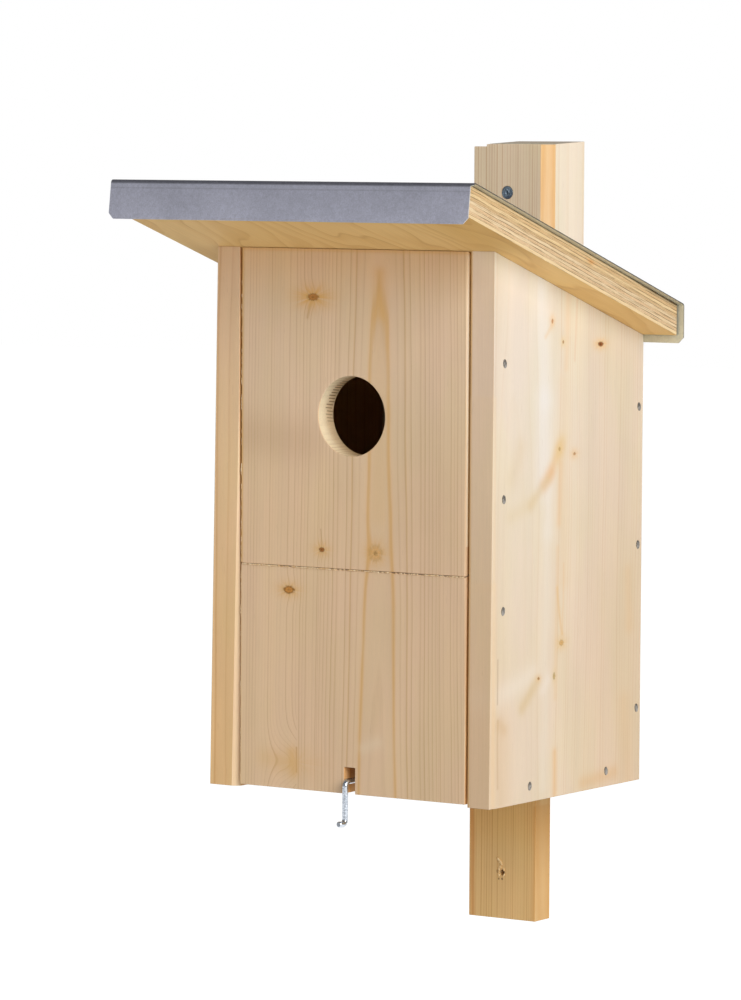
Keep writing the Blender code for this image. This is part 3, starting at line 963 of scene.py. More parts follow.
class Recipe(Graph):
    """A Geometry Nodes tree with named inputs, run on a mesh and kept as a plain mesh."""

    def __init__(self, name: str, inputs: Mapping[str, str]) -> None:
        """Makes the empty tree.

        Args:
            name: the tree's name.
            inputs: the socket type of each named input.
        """
        super().__init__(bpy.data.node_groups.new(name, "GeometryNodeTree"))
        face = self.tree.interface
        face.new_socket("Geometry", in_out="INPUT", socket_type="NodeSocketGeometry")
        self.keys = {
            label: face.new_socket(label, in_out="INPUT", socket_type=kind).identifier
            for label, kind in {**inputs, "Material": "NodeSocketMaterial"}.items()
        }
        face.new_socket("Geometry", in_out="OUTPUT", socket_type="NodeSocketGeometry")
        self.given = self.add("NodeGroupInput").outputs

    def attribute(self, name: str, kind: str = "FLOAT_VECTOR") -> Signal:
        """A value that the mesh holds at each point."""
        return self.out("GeometryNodeInputNamedAttribute", {"Name": name}, data_type=kind)

    def between(self, low: Value, high: Value, seed: int) -> Signal:
        """A random number for each point."""
        return self.out("FunctionNodeRandomValue", {2: low, 3: high, "Seed": seed}, 1, data_type="FLOAT")

    def close(self, geometry: Signal) -> None:
        """Ends the tree: instances made real, and the finish set.

        Args:
            geometry: what the tree has made.
        """
        real = self.out("GeometryNodeRealizeInstances", {"Geometry": geometry})
        inputs = {"Geometry": real, "Material": self.given["Material"]}
        self.add("NodeGroupOutput", {0: self.out("GeometryNodeSetMaterial", inputs)})

    def run(
        self, start: bpy.types.Mesh, values: Mapping[str, object], material: bpy.types.Material
    ) -> bpy.types.Mesh:
        """Runs the tree.

        Args:
            start: the mesh that it starts from.
            values: the value of each named input.
            material: the finish.

        Returns:
            The plain mesh that it makes.
        """
        carrier = linked("carrier", start)
        modifier = carrier.modifiers.new("recipe", "NODES")
        modifier.node_group = self.tree
        for label, value in {**values, "Material": material}.items():
            modifier[self.keys[label]] = value
        evaluated = carrier.evaluated_get(bpy.context.evaluated_depsgraph_get())
        mesh = bpy.data.meshes.new_from_object(evaluated)
        carrier.modifiers.remove(modifier)
        bpy.data.objects.remove(carrier)
        for name in [layer.name for layer in mesh.attributes if layer.name in HELPER_LAYERS]:
            mesh.attributes.remove(mesh.attributes[name])
        return mesh


def path_mesh(points: Sequence[Sequence[float]], **values: Sequence[float]) -> bpy.types.Mesh:
    """Joins points to a line.

    Args:
        points: the points in order, in the row frame.
        values: a number at each of them, for every name given.

    Returns:
        The line.
    """
    mesh = bpy.data.meshes.new("path")
    mesh.from_pydata([tuple(point) for point in points], [(n, n + 1) for n in range(len(points) - 1)], [])
    for name, numbers in values.items():
        mesh.attributes.new(name, "FLOAT", "POINT").data.foreach_set("value", list(numbers))
    return mesh


def wire_recipe() -> Recipe:
    """Sweeps a round section along a line; the section's radius at each point is the attribute swell.

    Returns:
        The recipe.
    """
    recipe = Recipe("wire", {"Sides": "NodeSocketInt"})
    line = recipe.out("GeometryNodeMeshToCurve", {"Mesh": recipe.given["Geometry"]})
    ring = {"Resolution": recipe.given["Sides"], "Radius": 1}
    section = recipe.out("GeometryNodeCurvePrimitiveCircle", ring)
    inputs = {"Curve": line, "Profile Curve": section, "Scale": recipe.attribute("swell", "FLOAT")}
    swept = recipe.out("GeometryNodeCurveToMesh", inputs)
    recipe.close(recipe.out("GeometryNodeMergeByDistance", {"Geometry": swept, "Distance": SAME_POINT}))
    return recipe


@dataclass(frozen=True)
class Place:
    """Where one of several like pieces goes, in the row frame."""

    at: Vector
    turn: Matrix
    size: Point = (1, 1, 1)


@dataclass(frozen=True)
class Copies:
    """Sets one shape at several places."""

    places: tuple[Place, ...]

    def build(self, shape: bpy.types.Mesh, material: bpy.types.Material) -> bpy.types.Mesh:
        """Makes the copies as one mesh.

        Args:
            shape: the mesh that is copied, at its own origin.
            material: its finish.

        Returns:
            The mesh of all of them.
        """
        recipe = Recipe("copies", {"Shape": "NodeSocketObject"})
        inputs = {
            "Points": recipe.given["Geometry"],
            "Instance": recipe.out("GeometryNodeObjectInfo", {"Object": recipe.given["Shape"]}, "Geometry"),
            "Rotation": recipe.out("FunctionNodeEulerToRotation", {0: recipe.attribute("turn")}),
            "Scale": recipe.attribute("size"),
        }
        recipe.close(recipe.out("GeometryNodeInstanceOnPoints", inputs))
        points = bpy.data.meshes.new("places")
        points.from_pydata([tuple(place.at) for place in self.places], [], [])
        for name, rows in (
            ("turn", [tuple(place.turn.to_euler()) for place in self.places]),
            ("size", [place.size for place in self.places]),
        ):
            flat = [number for row in rows for number in row]
            points.attributes.new(name, "FLOAT_VECTOR", "POINT").data.foreach_set("vector", flat)
        holder = bpy.data.objects.new("shape", shape)
        mesh = recipe.run(points, {"Shape": holder}, material)
        bpy.data.objects.remove(holder)
        return mesh


@dataclass(frozen=True)
class Chips:
    """Small torn fibres scattered along a line, in millimetres; the attribute rough is their share there."""

    spacing: float
    scatter: Point
    least: Point
    most: Point
    lean: float
    seed: int

    def build(
        self, points: Sequence[Sequence[float]], rough: Sequence[float], material: bpy.types.Material
    ) -> bpy.types.Mesh:
        """Makes the chips as one mesh.

        Args:
            points: the line, in the row frame.
            rough: the share of chips that are there, at each of its points.
            material: their finish.

        Returns:
            The mesh of all of them.
        """
        recipe = Recipe("chips", {"Spacing": "NodeSocketFloat", "Lean": "NodeSocketFloat"})
        given = recipe.given
        resample = {"Curve": recipe.out("GeometryNodeMeshToCurve", {"Mesh": given["Geometry"]})}
        spots = recipe.add("GeometryNodeResampleCurve", resample, mode="LENGTH")
        recipe.feed(spots.inputs["Length"], given["Spacing"])
        offset = recipe.combine(*(
            recipe.between(-reach / MM, reach / MM, self.seed + axis)
            for axis, reach in enumerate(self.scatter)
        ))
        size = recipe.combine(*(
            recipe.between(low / MM, high / MM, self.seed + 10 + axis)
            for axis, (low, high) in enumerate(zip(self.least, self.most))
        ))
        least_lean = recipe.step("MULTIPLY", given["Lean"], -1)
        lean = recipe.combine(*(
            recipe.between(least_lean, given["Lean"], self.seed + 20 + axis) for axis in range(3)
        ))
        kept = recipe.between(0, 1, self.seed + 30)
        moved = {"Geometry": spots.outputs[0], "Offset": offset}
        inputs = {
            "Points": recipe.out("GeometryNodeSetPosition", moved),
            "Selection": recipe.step("LESS_THAN", kept, recipe.attribute("rough", "FLOAT")),
            "Instance": recipe.out("GeometryNodeMeshIcoSphere", {"Radius": 0.5, "Subdivisions": 1}),
            "Rotation": recipe.out("FunctionNodeEulerToRotation", {0: lean}),
            "Scale": size,
        }
        recipe.close(recipe.out("GeometryNodeInstanceOnPoints", inputs))
        values = {"Spacing": self.spacing / MM, "Lean": self.lean}
        return recipe.run(path_mesh(points, rough=rough), values, material)


@dataclass(frozen=True)
class Bore:
    """A hole from front to back, its wall shaded smooth and its rims eased, in the box frame, metres."""

    centre: Point
    radius: float


@dataclass(frozen=True)
class Pocket:
    """The round pocket of a nail's head, which closes to the oval head, in the row frame, metres."""

    centre: Vector
    long_way: Vector
    short_way: Vector
    radius: float = 0.0029
    long_share: float = 0.945
    short_share: float = 0.72

    def closed(self, point: Vector) -> Vector | None:
        """Finds where a point of the round pocket goes.

        Args:
            point: the point, in the row frame.

        Returns:
            Its new place, or nothing if it isn't on the pocket's wall.
        """
        away = point - self.centre
        along, across = away.dot(self.long_way), away.dot(self.short_way)
        if abs(math.hypot(along, across) - self.radius) > 2 * ON_THE_WALL:
            return None
        shift = self.long_way * along * (self.long_share - 1)
        return point + shift + self.short_way * across * (self.short_share - 1)


@dataclass
class Board:
    """One sawn board or fitting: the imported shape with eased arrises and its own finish."""

    node: str
    body: str
    slot: str
    arris: float = 0.00035
    bore: Bore | None = None
    shortest: float = 0.006
    sharpest: float = 35.0
    pockets: tuple[Pocket, ...] = ()
    smooth: bool = False
    raised: float = 0.0

    def dress(self, cad: bpy.types.Object, materials: Sequence[bpy.types.Material], frame: BoxFrame) -> None:
        """Makes the piece that is shown.

        Args:
            cad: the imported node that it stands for.
            materials: its finish, and the finish of its bore's wall if that differs.
            frame: the box frame that the bore is given in.
        """
        bm = packed_shape(cad, 0.5)
        for pocket in self.pockets:
            for vert in bm.verts:
                if moved := pocket.closed(vert.co):
                    vert.co = moved
        self._raise_top(bm)
        eased = [edge for edge in bm.edges if self._eased(edge, frame)]
        bmesh.ops.bevel(bm, geom=eased, offset=self.arris, segments=2, profile=0.5, affect="EDGES")
        for face in bm.faces:
            on_bore = self._on_bore(face, frame)
            face.smooth = on_bore or self.smooth
            face.material_index = int(on_bore) if len(materials) > 1 else 0
        mesh = closed_mesh(bm, self.node)
        if self.smooth:
            mesh.set_sharp_from_angle(angle=SMOOTH_BELOW)
        show(f"{self.node}_dressed", mesh, materials, self.body, (self.node,))

    def _raise_top(self, bm: bmesh.types.BMesh) -> None:
        """Brings the sloping top up to the roof board.

        Args:
            bm: the board's shape, changed in place.
        """
        tops = [face for face in bm.faces if face.normal.z > 0.9 and face.calc_area() > LEAST_TOP]
        for vert in {vert for face in tops for vert in face.verts}:
            vert.co.z += self.raised

    def _eased(self, edge: bmesh.types.BMEdge, frame: BoxFrame) -> bool:
        """Whether an edge is an arris, or a piece of the bore's rim.

        Args:
            edge: an edge of the board's shape.
            frame: the box frame.

        Returns:
            True if the edge is to be eased.
        """
        if len(edge.link_faces) != 2 or edge.calc_face_angle() < math.radians(self.sharpest):
            return False
        on_rim = all(self._at_radius(vert.co, frame) for vert in edge.verts)
        return on_rim or edge.calc_length() > self.shortest

    def _at_radius(self, point: Vector, frame: BoxFrame) -> bool:
        """Whether a point lies on the bore's wall.

        Args:
            point: a point in the row frame.
            frame: the box frame.

        Returns:
            True if it does.
        """
        if self.bore is None:
            return False
        away = point - frame.point(*self.bore.centre)
        return abs(math.hypot(away.x, away.z) - self.bore.radius) < ON_THE_WALL

    def _on_bore(self, face: bmesh.types.BMFace, frame: BoxFrame) -> bool:
        """Whether a face is part of the bore's wall."""
        return self.bore is not None and all(self._at_radius(vert.co, frame) for vert in face.verts)


def along(direction: Sequence[float], roll: float = 0.0) -> Matrix:
    """The turn that carries +Z onto a direction, after a roll round it."""
    turn = Vector((0, 0, 1)).rotation_difference(Vector(direction)).to_matrix()
    return turn @ Matrix.Rotation(roll, 3, "Z")


@dataclass
class Nails:
    """The wire nails of both side walls: narrow clipped heads, driven level with the wood."""

    length: float = 0.050
    point: float = 0.004
    radius: float = 0.0011
    head_radius: float = 0.0026
    head_width: float = 0.68
    head_thickness: float = 0.00075
    rim: float = 0.00022
    rolls: tuple[float, ...] = (0.1, -0.25, 0.2, -0.12, 0.3, -0.3, 0.05, 0.18)
    lifts: tuple[float, ...] = (0.00002, 0.0, 0.00006, -0.00002, 0.00004, 0.0, 0.00005, 0.00001)

    def __post_init__(self) -> None:
        """Starts with no nail placed."""
        self.nodes: list[str] = []
        self.places: list[Place] = []
        self.pockets: dict[str, list[Pocket]] = {"left": [], "right": []}

    def locate(self, nodes: Mapping[str, bpy.types.Object]) -> None:
        """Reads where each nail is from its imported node.

        Args:
            nodes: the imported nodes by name.
        """
        self.nodes = sorted(name for name in nodes if "_nail_" in name)
        for number, name in enumerate(self.nodes):
            side = name.rsplit("_", 1)[1]
            low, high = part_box(name)
            inwards = -1 if side == "right" else 1
            centre = Vector((low.x if side == "left" else high.x, (low.y + high.y) / 2, (low.z + high.z) / 2))
            turn = along((inwards, 0, 0), self.rolls[number % len(self.rolls)])
            lift = self.lifts[(number * 3) % len(self.lifts)]
            at = centre - Vector((inwards * lift, 0, 0))
            self.places.append(Place(at, turn, (1.0, self.head_width, 1.0)))
            self.pockets[side].append(Pocket(centre, turn @ Vector((1, 0, 0)), turn @ Vector((0, 1, 0))))

    def build(self, material: bpy.types.Material) -> None:
        """Makes all the nails as one piece.

        Args:
            material: their finish.
        """
        flat, thick = self.head_radius - self.rim, self.head_thickness
        profile = (
            (0.0, 0.0),
            (flat, 0.00001),
            (flat + self.rim * 0.7, self.rim * 0.3),
            (self.head_radius, self.rim),
            (self.head_radius, thick),
            (self.radius, thick + 0.00001),
            (self.radius, self.length - self.point),
            (0.0, self.length),
        )
        line = path_mesh([(0, 0, height) for _, height in profile], swell=[radius for radius, _ in profile])
        shape = wire_recipe().run(line, {"Sides": 20}, material)
        mesh = Copies(tuple(self.places)).build(shape, material)
        mesh.shade_smooth()
        mesh.set_sharp_from_angle(angle=SMOOTH_BELOW)
        show("wall_nails", mesh, [material], "box", self.nodes)


@dataclass
class Chamber:
    """The side walls, the back wall and the floor."""

    frame: BoxFrame
    nodes: Mapping[str, bpy.types.Object]

    def build(self, nails: Nails) -> None:
        """Makes its boards.

        Args:
            nails: the nails, whose heads the side walls close round.
        """
        right, left = (tuple(nails.pockets[side]) for side in ("right", "left"))
        for board, finish in (
            (Board("side_wall_right", "box", "spruce_pale", pockets=right, raised=UP_TO_ROOF), RIGHT_WALL),
            (Board("side_wall_left", "box", "spruce_pale", pockets=left, raised=UP_TO_ROOF), LEFT_WALL),
            (Board("back_wall", "box", "spruce"), BACK_WALL),
            (Board("floor_board", "box", "spruce"), FLOOR_BOARD),
        ):
            board.dress(self.nodes[board.node], [Timber(finish, self.frame).build()], self.frame)


UPPER_LIP = Chips(
    spacing=0.6, scatter=(0.5, 0.06, 0.12), least=(0.6, 0.6, 0.65), most=(2.2, 1.1, 1.05), lean=0.2, seed=3
)
LOWER_LIP = Chips(
    spacing=0.9, scatter=(0.5, 0.04, 0.08), least=(0.3, 0.25, 0.25), most=(1, 0.5, 0.5), lean=0.3, seed=60
)
PANEL_ARRIS = Chips(
    spacing=2.1, scatter=(0.22, 0.2, 0.8), least=(0.3, 0.3, 1.6), most=(0.75, 0.6, 5.5), lean=0.06, seed=90
)
FLAP_ARRIS = Chips(
    spacing=2, scatter=(0.2, 0.2, 0.8), least=(0.3, 0.3, 1.5), most=(0.7, 0.55, 4.5), lean=0.06, seed=130
)


@dataclass
class FrontBoards:
    """The fixed panel with its hole, the flap below it, and the torn fibres of their sawn edges; mm."""

    frame: BoxFrame
    nodes: Mapping[str, bpy.types.Object]
    left: float = -80.0
    right: float = 82.0
    cut_height: float = 136.0
    cut_width: float = 0.8
    foot: float = 1.6
    top: float = 327.0
    hole_height: float = 228.6
    hole_radius: float = 24.0
    torn: tuple[float, ...] = (
        *(0.85, 1.0, 1.0, 0.75, 0.95, 0.5, 0.9, 0.5, 0.8, 0.4, 0.65, 0.45, 0.4, 0.6),
        *(0.4, 0.55, 0.4, 0.6, 0.45, 0.5, 0.4, 0.4, 0.6, 0.45, 0.6, 0.5),
    )
    panel_torn: tuple[float, ...] = (0.9, 0.5, 0.55, 0.35)
    flap_torn: tuple[float, ...] = (0.75, 0.6, 0.85)

    def build(self) -> None:
        """Makes the two boards and their torn edges."""
        centre = (0, 0, self.hole_height / MM)
        bore = Bore(centre, self.hole_radius / MM)
        wood = Timber(FRONT_BOARD, self.frame).build()
        hole = Drilled(radius=self.hole_radius).build(self.frame.point(*centre))
        panel = Board("front_panel", "box", "spruce", bore=bore)
        panel.dress(self.nodes["front_panel"], [wood, hole], self.frame)
        Board("front_flap", "flap", "spruce").dress(self.nodes["front_flap"], [wood], self.frame)
        torn = Splinters("splinters_front", srgb(254, 232, 196), srgb(232, 194, 142)).build()
        self._chips(torn)

    def _chips(self, material: bpy.types.Material) -> None:
        """Makes the fibres along both lips of the saw cut, and the long ones along the rough left arris.

        Args:
            material: their finish.
        """
        step = (self.right - self.left - 3) / (len(self.torn) - 1)
        cut = [self.left + 1 + step * number for number in range(len(self.torn))]
        above, below = self.cut_height + self.cut_width - 0.42, self.cut_height - 0.15
        panel_arris = [(self.left, 0.3, z) for z in (self.cut_height + 2.5, 200, 262, self.top - 3)]
        flap_arris = [(self.left, 0.3, z) for z in (self.foot + 2.5, 60, self.cut_height - 3)]
        for name, body, chips, line, shares in (
            ("panel_splinters", "box", UPPER_LIP, [(x, -0.22, above) for x in cut], self.torn),
            ("flap_splinters", "flap", LOWER_LIP, [(x, 0, below) for x in cut], self.torn),
            ("panel_edge_fibres", "box", PANEL_ARRIS, panel_arris, self.panel_torn),
            ("flap_edge_fibres", "flap", FLAP_ARRIS, flap_arris, self.flap_torn),
        ):
            points = [self.frame.millimetres(*point) for point in line]
            show(name, chips.build(points, shares, material), [material], body)


class SheetFace(Enum):
    """Which finish a face of the roof sheet takes; the value is its material slot. The cut edges take two
    copies of one finish, one with a painted highlight and one with painted shade.
    """

    OUTER = 0
    INNER = 1
    BRIGHT_CUT = 2
    DARK_CUT = 3


@dataclass
class Roof:
    """The plywood board, the folded sheet over it and the four screws."""

    frame: BoxFrame
    nodes: Mapping[str, bpy.types.Object]
    front_fold: tuple[float, float] = (-67.6, 369.4)
    rear_fold: tuple[float, float] = (173.4, 294.4)
    flange_drop: float = 24.0

    def build(self, screw: bpy.types.Material) -> None:
        """Makes its pieces.

        Args:
            screw: the finish of the screws.
        """
        plywood = Laminate(Plywood(), self.frame).build()
        board = Board("roof_board", "box", "plywood", arris=0.00045)
        board.dress(self.nodes[board.node], [plywood], self.frame)
        self._sheet()
        for name in sorted(name for name in self.nodes if name.startswith("roof_screw")):
            dress_screw(self.nodes[name], name, screw, self.frame)

    def _sheet(self) -> None:
        """The sheet: smooth over its folds, with its own finish inside, and along its cut edges a painted
        highlight on the flanges and painted shade elsewhere.
        """
        bm = packed_shape(self.nodes["roof_sheet"], 0.3)
        for face in bm.faces:
            face.smooth = True
            face.material_index = self._kind(face).value
        mesh = closed_mesh(bm, "roof_sheet")
        mesh.set_sharp_from_angle(angle=SMOOTH_BELOW)
        folds = (self.front_fold, self.rear_fold)
        finishes = (
            Galvanised("galvanised_outside", srgb(189, 190, 205), folds),
            # the inside is duller than the outside; its warm tone is painted reflection of the plywood below
            # it
            Galvanised("galvanised_inside", srgb(210, 208, 186), metallic=0.35, mottle=0.06),
            # one cut-edge finish twice: a light copy as painted highlight, a dark copy as painted shade
            Galvanised("galvanised_cut", srgb(206, 204, 200), metallic=0.6, mottle=0.2),
            Galvanised("galvanised_cut_dark", srgb(98, 94, 88), metallic=0.6, mottle=0.2),
        )
        materials = [finish.build(self.frame) for finish in finishes]
        show("roof_sheet_dressed", mesh, materials, "box", ("roof_sheet",))

    def _kind(self, face: bmesh.types.BMFace) -> SheetFace:
        """Which finish a face takes, from where it is and which way it looks.

        Args:
            face: a face of the sheet.

        Returns:
            The finish.
        """
        normal = face.normal
        centre = (face.calc_center_median() - self.frame.point(0, 0, 0)) * MM
        at_front = centre.y < (self.front_fold[0] + self.rear_fold[0]) / 2
        foot = (self.front_fold if at_front else self.rear_fold)[1] - self.flange_drop
        on_flange = min(abs(centre.y - self.front_fold[0]), abs(centre.y - self.rear_fold[0])) < 4.0
        # cut edges facing sideways: painted highlight on the flanges, painted shade on the sloping sides
        if abs(normal.x) > 0.6:
            return SheetFace.BRIGHT_CUT if on_flange else SheetFace.DARK_CUT
        # the flange's lower cut edge also takes the painted highlight
        if normal.z < -0.8 and on_flange and centre.z < foot + 1.0:
            return SheetFace.BRIGHT_CUT
        if abs(normal.z) > 0.3:
            return SheetFace.OUTER if normal.z > 0 else SheetFace.INNER
        return SheetFace.OUTER if (normal.y < 0) == at_front else SheetFace.INNER


def dress_screw(cad: bpy.types.Object, name: str, material: bpy.types.Material, frame: BoxFrame) -> None:
    """Makes one screw with a softened head.

    Args:
        cad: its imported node.
        name: that node's name.
        material: its finish.
        frame: the box frame.
    """
    screw = Board(name, "box", "zinc_screw", arris=0.00008, shortest=0.0008, sharpest=30.0, smooth=True)
    screw.dress(cad, [material], frame)


@dataclass
class Hanger:
    """The batten, the block behind it, their screws, and the torn wood round the batten's lower hole; mm."""

    frame: BoxFrame
    nodes: Mapping[str, bpy.types.Object]
    face: float = 173.7
    hole_height: float = -66.8
    hole_radius: float = 1.8
    tear_lift: float = 0.3
    tear_depth: float = 0.9
    tears: tuple[tuple[float, float, float, float, float], ...] = (
        (-1.6, 7.0, 6.6, 2.0, -0.7),
        (-2.0, 2.2, 4.8, 1.1, 0.2),
        (-0.9, 3.4, 2.6, 0.7, 0.1),
        (1.7, -1.4, 2.6, 0.9, 0.45),
        (1.5, 1.9, 2.2, 0.7, -0.2),
        (-1.9, -1.8, 2.2, 0.8, -0.5),
    )

    def build(self, screw: bpy.types.Material) -> None:
        """Makes its pieces.

        Args:
            screw: the finish of the screws.
        """
        hole = Bore((0, self.face / MM, self.hole_height / MM), self.hole_radius / MM)
        for board, finish in (
            (Board("hanging_batten", "box", "spruce", bore=hole), BATTEN),
            (Board("spacer_block", "box", "spruce_pale"), BLOCK),
        ):
            board.dress(self.nodes[board.node], [Timber(finish, self.frame).build()], self.frame)
        for name in sorted(name for name in self.nodes if name.startswith(("block_screw", "batten_screw"))):
            dress_screw(self.nodes[name], name, screw, self.frame)
        self._torn_hole()

    def _torn_hole(self) -> None:
        """The fibres that stand round the hole, each given as x, z, length, width and lean."""
        places = []
        for x, z, length, width, lean in self.tears:
            at = self.frame.millimetres(x, self.face - self.tear_lift, self.hole_height + z)
            size = (width / MM, self.tear_depth / MM, length / MM)
            places.append(Place(at, Matrix.Rotation(lean, 3, "Y"), size))
        bm = bmesh.new()
        bmesh.ops.create_icosphere(bm, subdivisions=2, radius=0.5)
        shape = closed_mesh(bm, "fibre")
        material = Splinters("splinters_batten", srgb(252, 226, 176), srgb(226, 184, 122)).build()
        mesh = Copies(tuple(places)).build(shape, material)
        mesh.shade_smooth()
        show("batten_hole_fibres", mesh, [material], "box")


@dataclass
class Latch:
    """The bent wire hook: shank, standing arm and lip, as a route in the box frame, mm."""

    frame: BoxFrame
    radius: float = 1.8
    bend: float = 3.0
    steps: int = 10
    sides: int = 24
    rounding: float = 0.45
    cap: float = 0.01
    route: tuple[tuple[float, float], ...] = ((38.8, 9.5), (-4.4, 9.5), (-4.4, -16.5), (-11.4, -15.5))

    def build(self, material: bpy.types.Material) -> None:
        """Makes the hook.

        Args:
            material: its finish.
        """
        line = self._rounded([Vector(point) for point in self.route])
        count = len(line)
        ends = {0: 0.0, 1: self.radius - self.rounding, 2: self.radius}
        swell = [ends.get(min(n, count - 1 - n), self.radius) / MM for n in range(count)]
        points = [self.frame.millimetres(0, point.x, point.y) for point in line]
        mesh = wire_recipe().run(path_mesh(points, swell=swell), {"Sides": self.sides}, material)
        mesh.shade_smooth()
        mesh.set_sharp_from_angle(angle=SMOOTH_BELOW)
        show("latch_hook_dressed", mesh, [material], "hook", ("latch_hook",))

    def _rounded(self, route: list[Vector]) -> list[Vector]:
        """The route with its corners bent to an arc and its ends given room for their rounding.

        Args:
            route: its corners and ends, mm.

        Returns:
            The points of the finished line.
        """
        line = [route[0]]
        first = (route[1] - route[0]).normalized()
        line += [route[0] + first * self.cap, route[0] + first * self.rounding]
        for before, corner, after in zip(route, route[1:], route[2:]):
            into, out = (before - corner).normalized(), (after - corner).normalized()
            half = into.angle(out) / 2
            centre = corner + (into + out).normalized() * self.bend / math.sin(half)
            start = corner + into * self.bend / math.tan(half)
            end = corner + out * self.bend / math.tan(half)
            sweep = (start - centre).angle_signed(end - centre)
            for step in range(self.steps + 1):
                line.append(centre + Matrix.Rotation(-sweep * step / self.steps, 2) @ (start - centre))
        last = (route[-2] - route[-1]).normalized()
        return line + [route[-1] + last * self.rounding, route[-1] + last * self.cap, route[-1]]


@dataclass(frozen=True)
class Lamp:
    """A square soft lamp, aimed at the middle of the box from an offset."""

    name: str
    offset: Point
    size: float
    power: float


@dataclass(frozen=True)
class Studio:
    """The camera, the soft lamps and the pale floor."""

    eye: Point = (1.622834, -2.425569, 0.388914)
    yaw: float = 33.5543
    pitch: float = -4.1215
    roll: float = 0.3242
    lens: float = 176.292
    sensor: float = 36.0
    floor_drop: float = 0.27
    floor_size: float = 12.0
    reach: float = 60.0
    ambient: float = 0.26
    middle: Point = (0.0, 0.08, 0.16)
    lamps: tuple[Lamp, ...] = (
        Lamp("key", (2.98, -1.52, 1.35), 2.2, 100.0),
        Lamp("fill", (-1.2, -3.2, 0.4), 2.4, 4.0),
    )

    def build(self, frame: BoxFrame, lowest: float) -> None:
        """Adds all of it.

        Args:
            frame: the box frame that the camera's place is given in.
            lowest: height of the object's lowest point.
        """
        bpy.context.scene.view_settings.view_transform = "Standard"
        self._camera(frame)
        self._lamps(frame)
        self._floor(lowest - self.floor_drop)
        self._world()

    def _camera(self, frame: BoxFrame) -> None:
        """Stands where the photograph was taken.

        Args:
            frame: the box frame.
        """
        data = bpy.data.cameras.new("camera")
        data.lens, data.sensor_width, data.sensor_fit = self.lens, self.sensor, "AUTO"
        data.clip_end = self.reach
        camera = linked("camera", data)
        camera.location = frame.point(*self.eye)
        turn = Euler((math.radians(90 + self.pitch), 0, math.radians(self.yaw)), "XYZ").to_matrix()
        camera.rotation_euler = (turn @ Matrix.Rotation(math.radians(self.roll), 3, "Z")).to_euler()
        bpy.context.scene.camera = camera

    def _lamps(self, frame: BoxFrame) -> None:
        """A wide key from the right, and a weak fill from the left.

        Args:
            frame: the box frame.
        """
        for kind in self.lamps:
            data = bpy.data.lights.new(kind.name, "AREA")
            data.shape, data.size, data.energy = "SQUARE", kind.size, kind.power
            lamp = linked(kind.name, data)
            lamp.location = frame.point(*self.middle) + Vector(kind.offset)
            lamp.rotation_euler = Vector(kind.offset).to_track_quat("Z", "Y").to_euler()

    def _floor(self, height: float) -> None:
        """A wide pale floor that the camera sees as white where nothing shades it.

        Args:
            height: its level.
        """
        bm = bmesh.new()
        bmesh.ops.create_grid(bm, x_segments=1, y_segments=1, size=self.floor_size)
        mesh = closed_mesh(bm, "floor")
        floor = linked("studio_floor", mesh)
        mesh.transform(Matrix.Translation((0, 0, height)))
        paint = Paint("studio_floor")
        mesh.materials.append(paint.finish((0.86, 0.86, 0.86), 0.9, gloss=0))
        seen = paint.add("ShaderNodeLightPath").outputs
        rays = paint.step("MAXIMUM", seen["Is Camera Ray"], seen["Is Glossy Ray"])
        glow = paint.out("ShaderNodeEmission", {"Strength": rays * 0.8})
        nodes = paint.tree.nodes
        both = paint.out("ShaderNodeAddShader", {0: nodes["Principled BSDF"].outputs[0], 1: glow})
        paint.feed(nodes["Material Output"].inputs["Surface"], both)
        floor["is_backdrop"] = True

    def _world(self) -> None:
        """Even light from all round, seen as plain white."""
        world = bpy.data.worlds.new("studio")
        bpy.context.scene.world = world
        world.use_nodes = True
        graph = Graph(world.node_tree)
        seen = graph.add("ShaderNodeLightPath").outputs
        rays = graph.step("MAXIMUM", seen["Is Camera Ray"], seen["Is Transmission Ray"])
        back = world.node_tree.nodes["Background"]
        graph.feed(back.inputs["Color"], (1, 1, 1))
        graph.feed(back.inputs["Strength"], rays * (1 - self.ambient) + self.ambient)


